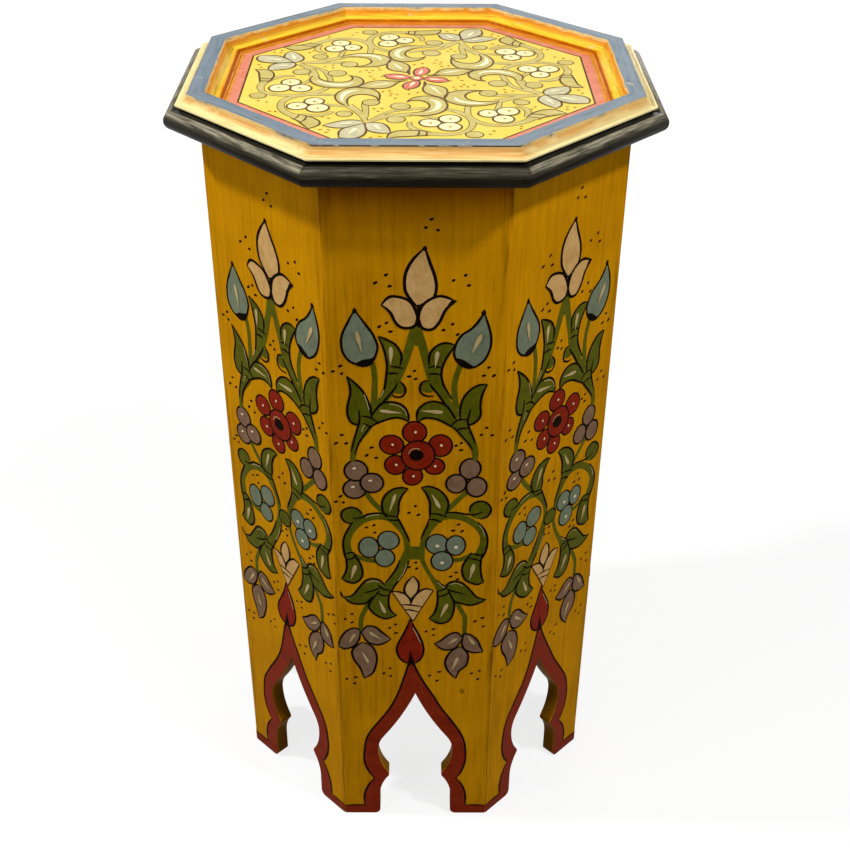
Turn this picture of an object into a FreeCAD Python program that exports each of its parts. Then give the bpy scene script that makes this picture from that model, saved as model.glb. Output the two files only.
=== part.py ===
import FreeCAD, Part
import math
import os

import Sketcher

# Octagonal side table: eight mitred boards with a keyhole arch cut in each foot carry a
# flat octagonal top with a half-round nosing and a raised moulded rim.
# Millimetres, +Z up, origin on the floor under the middle, front board facing -Y.

SIDES = ["front", "front_right", "right", "back_right", "back", "back_left", "left", "front_left"]
CLEAT_SIDES = ["front", "right", "back", "left"]
TURN = 360 / len(SIDES)
HALF_SIDE = math.tan(math.radians(TURN / 2))
TO_CORNER = 1 / math.cos(math.radians(TURN / 2))
UP = FreeCAD.Vector(0, 0, 1)
SAME_PLACE = 0.001

DIMENSIONS = [
    ("body_flats", 292.0, "across the flats, outside the side boards"),
    ("body_height", 587.0, "side boards, floor to the underside of the top"),
    ("board_thick", 12.0, "side boards"),
    ("arch_width", 60.0, "arch between its upright jambs"),
    ("jamb_height", 24.0, "upright part of the jambs"),
    ("cusp_reach", 9.0, "cusp inside its jamb"),
    ("cusp_rise", 24.5, "top of a jamb to its cusp"),
    ("cusp_round", 4.0, "radius on the tip of a cusp"),
    ("lobe_swell", 10.0, "widest point above a cusp, outside the cusp"),
    ("lobe_rise", 29.5, "cusp to that widest point"),
    ("shoulder_inset", 5.0, "turn from the lobe to the pointed head, inside the widest point"),
    ("shoulder_rise", 16.0, "widest point to that turn"),
    ("head_rise", 49.5, "that turn to the point of the arch"),
    ("foot_round", 5.0, "radius on the inner lower corner of a foot"),
    ("block_leg", 18.0, "corner block along each board"),
    ("block_start", 170.0, "floor to the lower end of a corner block"),
    ("block_drop", 24.0, "upper end of a corner block below the top board"),
    ("top_thick", 13.0, "top board and nosing"),
    ("top_overhang", 22.5, "nosing beyond the side boards"),
    ("nosing_width", 16.5, "nosing strip, from the top board to its round edge"),
    ("rim_height", 10.0, "rim above the panel"),
    ("rim_rebate", 1.0, "depth that the rim is let into the top board"),
    ("lip_setback", 8.0, "rim lip behind the edge of the nosing"),
    ("lip_overhang", 2.5, "lip beyond the fillet below it"),
    ("lip_rise", 2.6, "top board to the underside of the lip"),
    ("lip_thick", 1.2, "edge of the lip"),
    ("lip_flat", 1.4, "level part of the lip before the outer cove"),
    ("outer_cove", 6.2, "width of the outer cove"),
    ("outer_riser", 0.8, "upright edge of the flat above the outer cove"),
    ("rim_flat", 11.6, "level band on top of the rim"),
    ("inner_riser", 1.6, "upright edge of the flat on the panel side"),
    ("inner_cove", 8.8, "width of the inner cove"),
    ("inner_quirk", 2.0, "drop below the inner cove"),
    ("inner_fillet", 2.5, "level strip at the foot of the rim"),
    ("inner_fillet_rise", 1.0, "height of that strip"),
    ("cleat_length", 70.0, "cleat along its side board"),
    ("cleat_depth", 18.0, "cleat from its side board towards the middle"),
    ("cleat_height", 20.0, "cleat below the top board"),
    ("nail_width", 3.2, "square shank of a cleat nail under its head"),
    ("nail_point", 1.2, "square end of a cleat nail"),
    ("nail_head", 6.5, "square head of a cleat nail"),
    ("nail_head_thick", 1.5, "head of a cleat nail, proud of the cleat"),
    ("nail_bite", 9.0, "nail beyond its cleat"),
    ("top_nail_spacing", 46.0, "between the two nails from a cleat into the top"),
    ("side_nail_spacing", 22.0, "between the two nails from a cleat into a side board"),
    ("brad_width", 1.4, "square headless brads in the rim and nosing"),
    ("brad_set", 2.5, "brad below the filled and painted surface"),
    ("brad_bite", 9.0, "brad in the top board"),
    ("rim_brad_spacing", 60.0, "between the two brads of a rim strip"),
    ("nosing_brad_spacing", 90.0, "between the two brads of a nosing strip"),
]


class Size:
    """A length with the formula that ties it to the sheet."""

    def __init__(self, value, formula):
        self.value = value
        self.formula = formula

    def __add__(self, other):
        return Size(self.value + other.value, f"({self.formula} + {other.formula})")

    def __sub__(self, other):
        return Size(self.value - other.value, f"({self.formula} - {other.formula})")

    def __mul__(self, factor):
        return Size(self.value * factor, f"({self.formula} * {factor!r})")

    def __neg__(self):
        return Size(-self.value, f"(-{self.formula})")


doc = FreeCAD.newDocument("octagonal_side_table")
sheet = doc.addObject("Spreadsheet::Sheet", "dims")
size = {}
for row, (name, value, note) in enumerate(DIMENSIONS, start=1):
    sheet.set(f"A{row}", name)
    sheet.set(f"B{row}", str(value))
    sheet.setAlias(f"B{row}", name)
    sheet.set(f"C{row}", note)
    size[name] = Size(value, f"dims.{name}")
doc.recompute()

ZERO = Size(0, "0")
body_apothem = size["body_flats"] * 0.5
inner_apothem = body_apothem - size["board_thick"]
top_underside = size["body_height"]
top_face = top_underside + size["top_thick"]
rim_top = top_face + size["rim_height"]
nosing_apothem = body_apothem + size["top_overhang"]
board_apothem = nosing_apothem - size["nosing_width"]
lip_apothem = nosing_apothem - size["lip_setback"]
flat_outer = lip_apothem - size["lip_flat"] - size["outer_cove"]
flat_inner = flat_outer - size["rim_flat"]
rim_quirk = flat_inner - size["inner_cove"]
rim_foot = rim_quirk - size["inner_fillet"]


def half(name):
    return size[name] * 0.5


def turned(side):
    """Placement of a piece drawn for the front, turned to its own side."""
    return FreeCAD.Placement(FreeCAD.Vector(), FreeCAD.Rotation(UP, TURN * SIDES.index(side)))


def point(corner):
    return FreeCAD.Vector(corner[0].value, corner[1].value, 0)


def arc_through(start, end, centre):
    """An arc from start to end the short way round, and whether it runs anticlockwise."""
    first = start - centre
    last = end - centre
    anticlockwise = first.cross(last).z > 0
    if not anticlockwise:
        first, last = last, first
    circle = Part.Circle(centre, UP, first.Length)
    angles = [math.atan2(ray.y, ray.x) for ray in (first, last)]
    return Part.ArcOfCircle(circle, *angles), anticlockwise


def centre_at_height(start, end, height):
    """Centre of the circle through two points that lies at a given height."""
    squares = (end.x ** 2 - start.x ** 2) + (height - end.y) ** 2 - (height - start.y) ** 2
    return FreeCAD.Vector(squares / (2 * (end.x - start.x)), height, 0)


def centre_in_line(start, end, centre):
    """Centre of the circle that leaves the last arc smoothly at start and runs to end."""
    chord = end - start
    normal = (start - centre).normalize()
    return start + normal * (chord.dot(chord) / (2 * chord.dot(normal)))


class Outline:
    """A closed sketch whose corners and arc centres are tied to the sheet."""

    def __init__(self, body, role, name, lift=None):
        plane = next(part for part in body.Origin.OriginFeatures if part.Role == role)
        self.sketch = body.newObject("Sketcher::SketchObject", name)
        self.sketch.AttachmentSupport = [(plane, "")]
        self.sketch.MapMode = "FlatFace"
        if lift:
            self.sketch.setExpression("AttachmentOffset.Base.z", lift.formula)

    def tie(self, kind, edge, end, length):
        """Hold one coordinate of an edge's end, or of its centre, at a length from the origin."""
        axis = -2 if kind == "DistanceX" else -1
        if length is ZERO:
            self.sketch.addConstraint(Sketcher.Constraint("PointOnObject", edge, end, axis))
            return
        rule = Sketcher.Constraint(kind, -1, 1, edge, end, length.value)
        index = self.sketch.addConstraint(rule)
        self.sketch.setExpression(f"Constraints[{index}]", length.formula)

    def draw(self, corners):
        """Corners are (x, y) for a straight edge to the next corner, (x, y, height) for an arc
        with its centre at that height, and (x, y, "smooth") for an arc that follows on."""
        edges = []
        smooth_pairs = []
        centre = None
        for index, corner in enumerate(corners):
            start = point(corner)
            end = point(corners[(index + 1) % len(corners)])
            curve = corner[2] if len(corner) > 2 else None
            if curve is None:
                edge = self.sketch.addGeometry(Part.LineSegment(start, end))
                edges.append((edge, 1, 2))
                continue
            if curve == "smooth":
                centre = centre_in_line(start, end, centre)
                smooth_pairs.append(index)
            else:
                centre = centre_at_height(start, end, curve.value)
            arc, anticlockwise = arc_through(start, end, centre)
            edge = self.sketch.addGeometry(arc)
            edges.append((edge, 1, 2) if anticlockwise else (edge, 2, 1))
            if curve != "smooth":
                self.tie("DistanceY", edge, 3, curve)
        for index, (edge, start, _) in enumerate(edges):
            before, _, end = edges[index - 1]
            kind = "Tangent" if index in smooth_pairs else "Coincident"
            self.sketch.addConstraint(Sketcher.Constraint(kind, before, end, edge, start))
            self.tie("DistanceX", edge, start, corners[index][0])
            self.tie("DistanceY", edge, start, corners[index][1])
        return self.sketch


def new_body(label):
    return doc.addObject("PartDesign::Body", label)


def pad(body, sketch, length, symmetric=False):
    feature = body.newObject("PartDesign::Pad", "pad")
    feature.Profile = sketch
    feature.setExpression("Length", length.formula)
    feature.SideType = "Symmetric" if symmetric else "One side"
    doc.recompute()
    return feature


def cut_through(body, sketch):
    """Cut a sketch through the whole body, both ways."""
    before = body.Shape.Volume
    feature = body.newObject("PartDesign::Pocket", "cut")
    feature.Profile = sketch
    feature.Type = "ThroughAll"
    feature.SideType = "Symmetric"
    doc.recompute()
    if body.Shape.Volume >= before:
        raise RuntimeError(f"{body.Label}: {sketch.Label} cuts nothing")
    return feature


def mirrored(body, feature):
    """Repeat a feature on the other side of the body's middle plane."""
    mirror = body.newObject("PartDesign::Mirrored", "both_halves")
    mirror.Originals = [feature]
    plane = next(part for part in body.Origin.OriginFeatures if part.Role == "YZ_Plane")
    mirror.MirrorPlane = (plane, [""])
    body.Tip = mirror
    doc.recompute()
    return mirror


def round_edges(body, base, places, radius):
    """Round the edges across a board that stand at the given (x, z) places."""
    names = []
    for index, edge in enumerate(base.Shape.Edges, start=1):
        ends = [FreeCAD.Vector(vertex.X, 0, vertex.Z) for vertex in edge.Vertexes]
        for x, z in places:
            corner = FreeCAD.Vector(x.value, 0, z.value)
            if all(corner.isEqual(end, SAME_PLACE) for end in ends):
                names.append(f"Edge{index}")
    feature = body.newObject("PartDesign::Fillet", "rounded")
    feature.Base = (base, names)
    feature.setExpression("Radius", radius.formula)
    doc.recompute()
    return feature


def side_board(side, label):
    """A mitred board; the keyhole arch in its lower end leaves two feet."""
    body = new_body(label)
    section = Outline(body, "XY_Plane", "mitred_section").draw([
        (-body_apothem * HALF_SIDE, -body_apothem),
        (body_apothem * HALF_SIDE, -body_apothem),
        (inner_apothem * HALF_SIDE, -inner_apothem),
        (-inner_apothem * HALF_SIDE, -inner_apothem),
    ])
    pad(body, section, size["body_height"])

    jamb = half("arch_width")
    cusp = jamb - size["cusp_reach"]
    lobe = cusp + size["lobe_swell"]
    shoulder = lobe - size["shoulder_inset"]
    jamb_top = size["jamb_height"]
    cusp_height = jamb_top + size["cusp_rise"]
    lobe_height = cusp_height + size["lobe_rise"]
    shoulder_height = lobe_height + size["shoulder_rise"]
    half_arch = Outline(body, "XZ_Plane", "half_arch").draw([
        (ZERO, ZERO),
        (jamb, ZERO),
        (jamb, jamb_top, jamb_top),
        (cusp, cusp_height, lobe_height),
        (lobe, lobe_height, lobe_height),
        (shoulder, shoulder_height, "smooth"),
        (ZERO, shoulder_height + size["head_rise"]),
    ])
    arch = mirrored(body, cut_through(body, half_arch))
    cusps = [(cusp, cusp_height), (-cusp, cusp_height)]
    rounded = round_edges(body, arch, cusps, size["cusp_round"])
    round_edges(body, rounded, [(jamb, ZERO), (-jamb, ZERO)], size["foot_round"])
    body.Placement = turned(side)
    return body


def corner_block(side, label):
    """A three-sided strip in the corner that follows a side, against both boards."""
    vertex = inner_apothem * TO_CORNER
    reach = size["block_leg"] * math.cos(math.radians(TURN / 2))
    depth = size["block_leg"] * math.sin(math.radians(TURN / 2))
    body = new_body(label)
    section = Outline(body, "XY_Plane", "section", size["block_start"]).draw([
        (ZERO, -vertex),
        (reach, depth - vertex),
        (-reach, depth - vertex),
    ])
    pad(body, section, size["body_height"] - size["block_drop"] - size["block_start"])
    half_turn = FreeCAD.Placement(FreeCAD.Vector(), FreeCAD.Rotation(UP, TURN / 2))
    body.Placement = half_turn.multiply(turned(side))
    return body


def mitred_strip(side, label, profile, inner, outer):
    """A length of moulding with both ends sawn to the mitre."""
    body = new_body(label)
    section = Outline(body, "YZ_Plane", "profile").draw(profile)
    pad(body, section, outer * (2 * HALF_SIDE), symmetric=True)
    offcuts = Outline(body, "XY_Plane", "mitres")
    for hand in (1, -1):
        offcuts.draw([
            (inner * (hand * HALF_SIDE), -inner),
            (outer * (hand * HALF_SIDE), -outer),
            (outer * (hand * HALF_SIDE), -inner),
        ])
    cut_through(body, offcuts.sketch)
    body.Placement = turned(side)
    return body


def nosing(side, label):
    """Half-round black edge of the top, as thick as the top board."""
    middle = top_underside + half("top_thick")
    round_start = nosing_apothem - half("top_thick")
    profile = [
        (-board_apothem, top_underside),
        (-round_start, top_underside, middle),
        (-nosing_apothem, middle, middle),
        (-round_start, top_face),
        (-board_apothem, top_face),
    ]
    return mitred_strip(side, label, profile, board_apothem, nosing_apothem)


def rim(side, label):
    """Raised moulding round the panel: fillet, lip, outer cove, flat, inner cove and quirk."""
    fillet = lip_apothem - size["lip_overhang"]
    lip_underside = top_face + size["lip_rise"]
    lip_top = lip_underside + size["lip_thick"]
    outer_cove_top = rim_top - size["outer_riser"]
    inner_cove_top = rim_top - size["inner_riser"]
    foot_top = top_face + size["inner_fillet_rise"]
    ledge = top_face - size["rim_rebate"]
    profile = [
        (-rim_foot, ledge),
        (-board_apothem, ledge),
        (-board_apothem, top_face),
        (-fillet, top_face),
        (-fillet, lip_underside),
        (-lip_apothem, lip_underside),
        (-lip_apothem, lip_top),
        (size["lip_flat"] - lip_apothem, lip_top, outer_cove_top),
        (-flat_outer, outer_cove_top),
        (-flat_outer, rim_top),
        (-flat_inner, rim_top),
        (-flat_inner, inner_cove_top, rim_top),
        (-rim_quirk, foot_top + size["inner_quirk"]),
        (-rim_quirk, foot_top),
        (-rim_foot, foot_top),
    ]
    return mitred_strip(side, label, profile, rim_foot, lip_apothem)


def cleat(side, label):
    """A batten that ties a side board to the top."""
    end = half("cleat_length")
    back = inner_apothem - size["cleat_depth"]
    body = new_body(label)
    section = Outline(body, "XY_Plane", "section", top_underside - size["cleat_height"]).draw([
        (-end, -inner_apothem),
        (end, -inner_apothem),
        (end, -back),
        (-end, -back),
    ])
    pad(body, section, size["cleat_height"])
    body.Placement = turned(side)
    return body


def octagon(label, apothem, base, height):
    """A flat octagonal board with a flat to the front."""
    board = doc.addObject("Part::Prism", label)
    board.Polygon = len(SIDES)
    board.Placement = FreeCAD.Placement(FreeCAD.Vector(), FreeCAD.Rotation(UP, TURN / 2))
    board.setExpression("Circumradius", (apothem * TO_CORNER).formula)
    board.setExpression("Height", height.formula)
    board.setExpression("Placement.Base.z", base.formula)
    return board


def top_board(label):
    """The octagonal board; its raised field is the painted panel, its rebate takes the rim."""
    ledge_thick = size["top_thick"] - size["rim_rebate"]
    board = doc.addObject("Part::Fuse", label)
    board.Base = octagon(f"{label}_ledge", board_apothem, top_underside, ledge_thick)
    board.Tool = octagon(f"{label}_field", rim_foot, top_underside, size["top_thick"])
    board.Refine = True
    return board


def nail(length):
    """A cut nail along +Z, tapered on all sides, the underside of its head at the origin."""
    head = size["nail_head"].value / 2
    shank = size["nail_width"].value / 2
    tip = size["nail_point"].value / 2
    thick = size["nail_head_thick"].value
    along = length.value
    solid = Part.makeWedge(-shank, 0, -shank, -tip, -tip, shank, along, shank, tip, tip)
    solid.rotate(FreeCAD.Vector(), FreeCAD.Vector(1, 0, 0), 90)
    return solid.fuse(Part.makeBox(2 * head, 2 * head, thick, FreeCAD.Vector(-head, -head, -thick)))


def brad(length):
    """A headless square brad along +Z."""
    width = size["brad_width"].value
    return Part.makeBox(width, width, length.value, FreeCAD.Vector(-width / 2, -width / 2, 0))


def pairs(label, solid, sides, spacing, apothem, height, direction):
    """One group of equal fasteners, two on each of the given sides."""
    aim = FreeCAD.Rotation(UP, direction)
    copies = []
    for side in sides:
        for hand in (1, -1):
            place = FreeCAD.Vector(hand * half(spacing).value, -apothem.value, height.value)
            copy = solid.copy()
            copy.Placement = turned(side).multiply(FreeCAD.Placement(place, aim))
            copies.append(copy)
    group = doc.addObject("Part::Feature", label)
    group.Shape = Part.makeCompound(copies)
    group.Placement = FreeCAD.Placement()
    return group


def drilled(label, blank, *fasteners):
    """A piece with the holes that its fasteners fill."""
    tool = fasteners[0]
    if len(fasteners) > 1:
        tool = doc.addObject("Part::Compound", f"{label}_holes")
        tool.Links = list(fasteners)
    piece = doc.addObject("Part::Cut", label)
    piece.Base = blank
    piece.Tool = tool
    return piece


inward = FreeCAD.Vector(0, 1, 0)
outward = FreeCAD.Vector(0, -1, 0)
cleat_middle = inner_apothem - half("cleat_depth")
cleat_face = inner_apothem - size["cleat_depth"]
top_nails = pairs(
    "cleat_top_nails", nail(size["cleat_height"] + size["nail_bite"]), CLEAT_SIDES,
    "top_nail_spacing", cleat_middle, top_underside - size["cleat_height"], UP)
side_nails = pairs(
    "cleat_side_nails", nail(size["cleat_depth"] + size["nail_bite"]), CLEAT_SIDES,
    "side_nail_spacing", cleat_face, top_underside - half("cleat_height"), outward)
rim_brads = pairs(
    "rim_brads", brad(size["brad_bite"] + size["rim_height"] - size["brad_set"]), SIDES,
    "rim_brad_spacing", flat_outer - half("rim_flat"), top_face - size["brad_bite"], UP)
nosing_brads = pairs(
    "nosing_brads", brad(size["brad_bite"] + size["nosing_width"] - size["brad_set"]), SIDES,
    "nosing_brad_spacing", nosing_apothem - size["brad_set"],
    top_underside + half("top_thick"), inward)

pieces = [top_nails, side_nails, rim_brads, nosing_brads]
for number, side in enumerate(SIDES, start=1):
    if side in CLEAT_SIDES:
        board = side_board(side, f"side_board_{side}_blank")
        pieces.append(drilled(f"side_board_{side}", board, side_nails))
        batten = cleat(side, f"cleat_{side}_blank")
        pieces.append(drilled(f"cleat_{side}", batten, top_nails, side_nails))
    else:
        pieces.append(side_board(side, f"side_board_{side}"))
    pieces.append(corner_block(side, f"corner_block_{number}"))
    pieces.append(drilled(f"nosing_{side}", nosing(side, f"nosing_{side}_blank"), nosing_brads))
    pieces.append(drilled(f"rim_{side}", rim(side, f"rim_{side}_blank"), rim_brads))
pieces.append(drilled("top_board", top_board("top_board_blank"), top_nails, rim_brads, nosing_brads))
doc.recompute()

for item in doc.Objects:
    if "Invalid" in item.State or "Error" in item.State:
        raise RuntimeError(f"{item.Label} failed: {item.State}")
for piece in pieces:
    if piece.Shape.isNull() or not piece.Shape.isValid():
        raise RuntimeError(f"{piece.Label} has no valid shape")

os.makedirs("parts", exist_ok=True)
for piece in pieces:
    piece.Shape.exportStep(f"parts/{piece.Label}.step")
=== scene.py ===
import math
import bmesh
import bpy
from mathutils import Matrix, Vector
from mathutils.geometry import tessellate_polygon


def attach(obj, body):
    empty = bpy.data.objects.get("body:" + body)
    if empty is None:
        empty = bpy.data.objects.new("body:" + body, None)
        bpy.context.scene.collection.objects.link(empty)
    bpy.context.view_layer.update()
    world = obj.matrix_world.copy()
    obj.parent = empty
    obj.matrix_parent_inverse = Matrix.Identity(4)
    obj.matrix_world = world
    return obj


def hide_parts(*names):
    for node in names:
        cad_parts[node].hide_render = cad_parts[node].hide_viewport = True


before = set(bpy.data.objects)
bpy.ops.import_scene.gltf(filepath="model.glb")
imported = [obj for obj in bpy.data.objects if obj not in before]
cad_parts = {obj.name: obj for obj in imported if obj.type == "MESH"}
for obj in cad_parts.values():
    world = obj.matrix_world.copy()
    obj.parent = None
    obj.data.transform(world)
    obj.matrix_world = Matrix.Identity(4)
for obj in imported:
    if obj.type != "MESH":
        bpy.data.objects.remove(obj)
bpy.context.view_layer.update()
scene = bpy.context.scene

# Side boards: eight planed softwood boards, mitred along both edges and glued into an octagonal tube.
# A keyhole arch is sawn into each foot and the arrises are sanded off. The outside is brushed with ochre
# paint in long upright strokes and grimy at the seams. Painted shade browns the front board under the top
# and darkens the sawn edges. The inside is bare pine.
SIDES = ("front", "front_right", "right", "back_right", "back", "back_left", "left", "front_left")
BOARD_FACE = 0.146
BOARD_ARRIS = 0.0006
PINES = [(0.28, 122, 84, 48), (0.45, 176, 132, 82), (0.6, 196, 152, 100), (0.75, 210, 170, 120)]
OCHRES = [(0.3, 172, 113, 2), (0.45, 208, 142, 2), (0.56, 221, 152, 3), (0.72, 236, 168, 6)]
GRIME_STARTS = 0.1545
GRIME_FULL = 0.1582
SHADED_EDGE_STARTS = 0.1454
SHADED_EDGE_FULL = 0.1448
SHADE_UNDER_TOP_STARTS = 0.548
SHADE_UNDER_TOP_FULL = 0.578
FRONT_STARTS = -0.1445
FRONT_FULL = -0.1458
STAIN = (0.0377, -BOARD_FACE, 0.1454)
STAIN_EDGE = 0.0032
STAIN_HEART = 0.0014
STAIN_RAGGED = 0.0016
MOST_NOISE = (0.3, 0.7)
PATCH_SHARE = 0.45
RELIEF_STRENGTH = 0.6
MERGE = 1e-5
FLAT_ANGLE = math.radians(0.5)
SHARP_ANGLE = math.radians(30)
LEAST_CURVE = 0.001
MOST_CURVE = 0.4
FACING_IN = 0.9


def colour(red, green, blue):
    """A paint's colour from 0 to 255 sRGB values, as the linear values that a shader takes."""
    parts = [part / 255 for part in (red, green, blue)]
    return (*[p / 12.92 if p < 0.04045 else ((p + 0.055) / 1.055) ** 2.4 for p in parts], 1)


def add(tree, kind, settings=None, inputs=None):
    """Adds one node to a tree, with its settings made and its inputs set or linked."""
    made = tree.nodes.new(kind)
    for name, value in (settings or {}).items():
        setattr(made, name, value)
    for name, value in (inputs or {}).items():
        if isinstance(value, bpy.types.NodeSocket):
            tree.links.new(value, made.inputs[name])
        else:
            made.inputs[name].default_value = value
    return made


def sum_of(tree, operation, *values):
    """The result of one sum on numbers or sockets."""
    return add(tree, "ShaderNodeMath", {"operation": operation}, dict(enumerate(values))).outputs[0]


def product(tree, first, *others):
    """Numbers or sockets multiplied together, one after the other."""
    for other in others:
        first = sum_of(tree, "MULTIPLY", first, other)
    return first


def vector_sum(tree, operation, *values):
    """The result of one sum on places or directions."""
    return add(tree, "ShaderNodeVectorMath", {"operation": operation}, dict(enumerate(values))).outputs[0]


def distance(tree, place, point=(0, 0, 0)):
    """How far a place is from a point."""
    return add(tree, "ShaderNodeVectorMath", {"operation": "DISTANCE"}, {
        0: place, 1: point}).outputs["Value"]


def flattened(tree, place):
    """A place brought down to the floor."""
    return vector_sum(tree, "MULTIPLY", place, (1, 1, 0))


def stretched(tree, place, scale):
    """A place stretched along each axis, so that a pattern on it runs along the brush or the grain."""
    return add(tree, "ShaderNodeMapping", inputs={"Vector": place, "Scale": scale}).outputs["Vector"]


def mixed(tree, share, first, second):
    """A value between two others, nearer to the second as the share grows."""
    return add(tree, "ShaderNodeMix", inputs={"Factor": share, "A": first, "B": second}).outputs["Result"]


def ramp(tree, factor, stops):
    """A colour ramp through stops of (place, red, green, blue)."""
    made = add(tree, "ShaderNodeValToRGB", inputs={"Fac": factor})
    steps = made.color_ramp.elements
    while len(steps) < len(stops):
        steps.new(1)
    for step, (place, *shade) in zip(steps, stops):
        step.position = place
        step.color = colour(*shade)
    return made.outputs["Color"]


def span(tree, value, low, high, start=0.0, end=1.0):
    """A value between low and high as a value between start and end."""
    return add(tree, "ShaderNodeMapRange", inputs={
        "Value": value, "From Min": low, "From Max": high, "To Min": start,
        "To Max": end}).outputs["Result"]


def tint(tree, factor, base, over, way="MIX"):
    """One colour laid over another, as far as the factor says."""
    return add(tree, "ShaderNodeMix", {"data_type": "RGBA", "blend_type": way}, {
        0: factor, 6: base, 7: over}).outputs[2]


def cloud(tree, place, scale=1.0, detail=4.0, rough=0.55, twist=0.0):
    """A cloudy noise value at a place."""
    return add(tree, "ShaderNodeTexNoise", inputs={
        "Vector": place, "Scale": scale, "Detail": detail, "Roughness": rough,
        "Distortion": twist}).outputs["Fac"]


def reach_of(tree, place):
    """A place taken apart along the axes, and how far out it is towards the nearest side."""
    parts = add(tree, "ShaderNodeSeparateXYZ", inputs={"Vector": place}).outputs
    x = sum_of(tree, "ABSOLUTE", parts["X"])
    y = sum_of(tree, "ABSOLUTE", parts["Y"])
    slant = sum_of(tree, "MULTIPLY", sum_of(tree, "ADD", x, y), math.sqrt(0.5))
    return parts, sum_of(tree, "MAXIMUM", sum_of(tree, "MAXIMUM", x, y), slant)


def new_paint(name, shine):
    """A new material, its node tree and its place on the table."""
    paint = bpy.data.materials.new(name)
    paint.use_nodes = True
    tree = paint.node_tree
    tree.nodes["Principled BSDF"].inputs["Specular IOR Level"].default_value = shine
    return paint, tree, add(tree, "ShaderNodeTexCoord").outputs["Object"]


def finish(tree, tone, streak, gloss, relief):
    """Puts a colour on the shader, with roughness between two values and relief from the same streaks."""
    shader = tree.nodes["Principled BSDF"]
    bump = add(tree, "ShaderNodeBump", inputs={
        "Strength": RELIEF_STRENGTH, "Distance": relief, "Height": streak})
    tree.links.new(tone, shader.inputs["Base Color"])
    tree.links.new(span(tree, streak, *MOST_NOISE, *gloss), shader.inputs["Roughness"])
    tree.links.new(bump.outputs["Normal"], shader.inputs["Normal"])


def brushed_paint(name, stops, stretch, patch_size, gloss, relief, shine=0.03):
    """A brushed paint: streaks stretched along the brush and larger worn patches."""
    paint, tree, place = new_paint(name, shine)
    streak = cloud(tree, stretched(tree, place, stretch), detail=5, rough=0.6)
    patch = cloud(tree, place, scale=1 / patch_size, twist=0.4)
    finish(tree, ramp(tree, mixed(tree, PATCH_SHARE, streak, patch), stops), streak, gloss, relief)
    return paint


def eased_copy(node, arris, paint, inside=None):
    """A copy of a CAD solid that stands for it, with its arrises rubbed off and its inner side bare."""
    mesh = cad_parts[node].data.copy()
    shape = bmesh.new()
    shape.from_mesh(mesh)
    bmesh.ops.remove_doubles(shape, verts=shape.verts, dist=MERGE)
    bmesh.ops.dissolve_limit(shape, angle_limit=FLAT_ANGLE, verts=shape.verts, edges=shape.edges)
    for face in shape.faces:
        angles = [edge.calc_face_angle() for edge in face.edges if edge.is_manifold]
        face.smooth = any(LEAST_CURVE < angle < MOST_CURVE for angle in angles)
    sharp = [edge for edge in shape.edges if edge.is_manifold and edge.calc_face_angle() > SHARP_ANGLE]
    rounded = bmesh.ops.bevel(shape, geom=sharp, offset=arris, segments=2, profile=0.5, affect="EDGES",
                              clamp_overlap=True)
    for face in shape.faces:
        face.material_index = int(bool(inside) and face.normal.dot(inside) > FACING_IN)
    for face in rounded["faces"]:
        face.smooth = True
    shape.to_mesh(mesh)
    shape.free()
    mesh.materials.clear()
    mesh.materials.append(paint)
    if inside:
        mesh.materials.append(pine)
    piece = bpy.data.objects.new(f"painted_{node}", mesh)
    scene.collection.objects.link(piece)
    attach(piece, "root")
    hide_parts(node)
    return piece


pine = brushed_paint("bare_sawn_pine", PINES, stretch=(330, 330, 22), patch_size=0.03, gloss=(0.6, 0.85),
                     relief=0.0003)
ochre, tree, place = new_paint("ochre_brushed_paint", shine=0.015)
streak = cloud(tree, stretched(tree, place, (330, 330, 15)), detail=5, rough=0.65)
patch = cloud(tree, place, scale=14, rough=0.6, twist=0.5)
tone = ramp(tree, mixed(tree, 0.5, streak, patch), OCHRES)
# dark hairs of the brush, and specks
hair = cloud(tree, stretched(tree, place, (700, 700, 20)), detail=2, rough=0.5)
tone = tint(tree, span(tree, hair, 0.64, 0.78, 0, 0.4), tone, colour(96, 60, 3))
speck = cloud(tree, place, scale=650, detail=2, rough=0.5)
tone = tint(tree, span(tree, speck, 0.3, 0.75, 0, 0.16), tone, colour(120, 78, 3))
# grime down the seams
runs = cloud(tree, stretched(tree, place, (260, 260, 14)), detail=3, rough=0.6)
near_seam = span(tree, distance(tree, flattened(tree, place)), GRIME_STARTS, GRIME_FULL, 0, 0.8)
grime = product(tree, near_seam, span(tree, runs, 0.48, 0.66), span(tree, patch, 0.4, 0.6, 0.3, 1))
tone = tint(tree, grime, tone, colour(84, 52, 4))
# painted shade: the sawn edges of the arches are made darker and browner
parts, reach = reach_of(tree, place)
shaded_sawn_edge = span(tree, reach, SHADED_EDGE_STARTS, SHADED_EDGE_FULL)
tone = tint(tree, shaded_sawn_edge, tone, colour(183, 177, 60), "MULTIPLY")
# painted shade that browns the front board just under the top, and one small stain on the front board
shade_under_top = product(tree, span(tree, parts["Z"], SHADE_UNDER_TOP_STARTS, SHADE_UNDER_TOP_FULL),
                span(tree, parts["Y"], FRONT_STARTS, FRONT_FULL))
tone = tint(tree, shade_under_top, tone, colour(193, 166, 138), "MULTIPLY")
ragged = span(tree, cloud(tree, place, scale=300, detail=3, rough=0.6), *MOST_NOISE,
              -STAIN_RAGGED, STAIN_RAGGED)
from_stain = sum_of(tree, "ADD", distance(tree, place, STAIN), ragged)
tone = tint(tree, span(tree, from_stain, STAIN_EDGE, STAIN_HEART, 0, 0.7), tone, colour(120, 66, 4))
finish(tree, tone, streak, gloss=(0.42, 0.6), relief=0.0002)
for number, side in enumerate(SIDES):
    inward = Vector((math.sin(-number * math.pi / 4), math.cos(number * math.pi / 4), 0))
    eased_copy(f"side_board_{side}", BOARD_ARRIS, ochre, inward)

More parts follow.
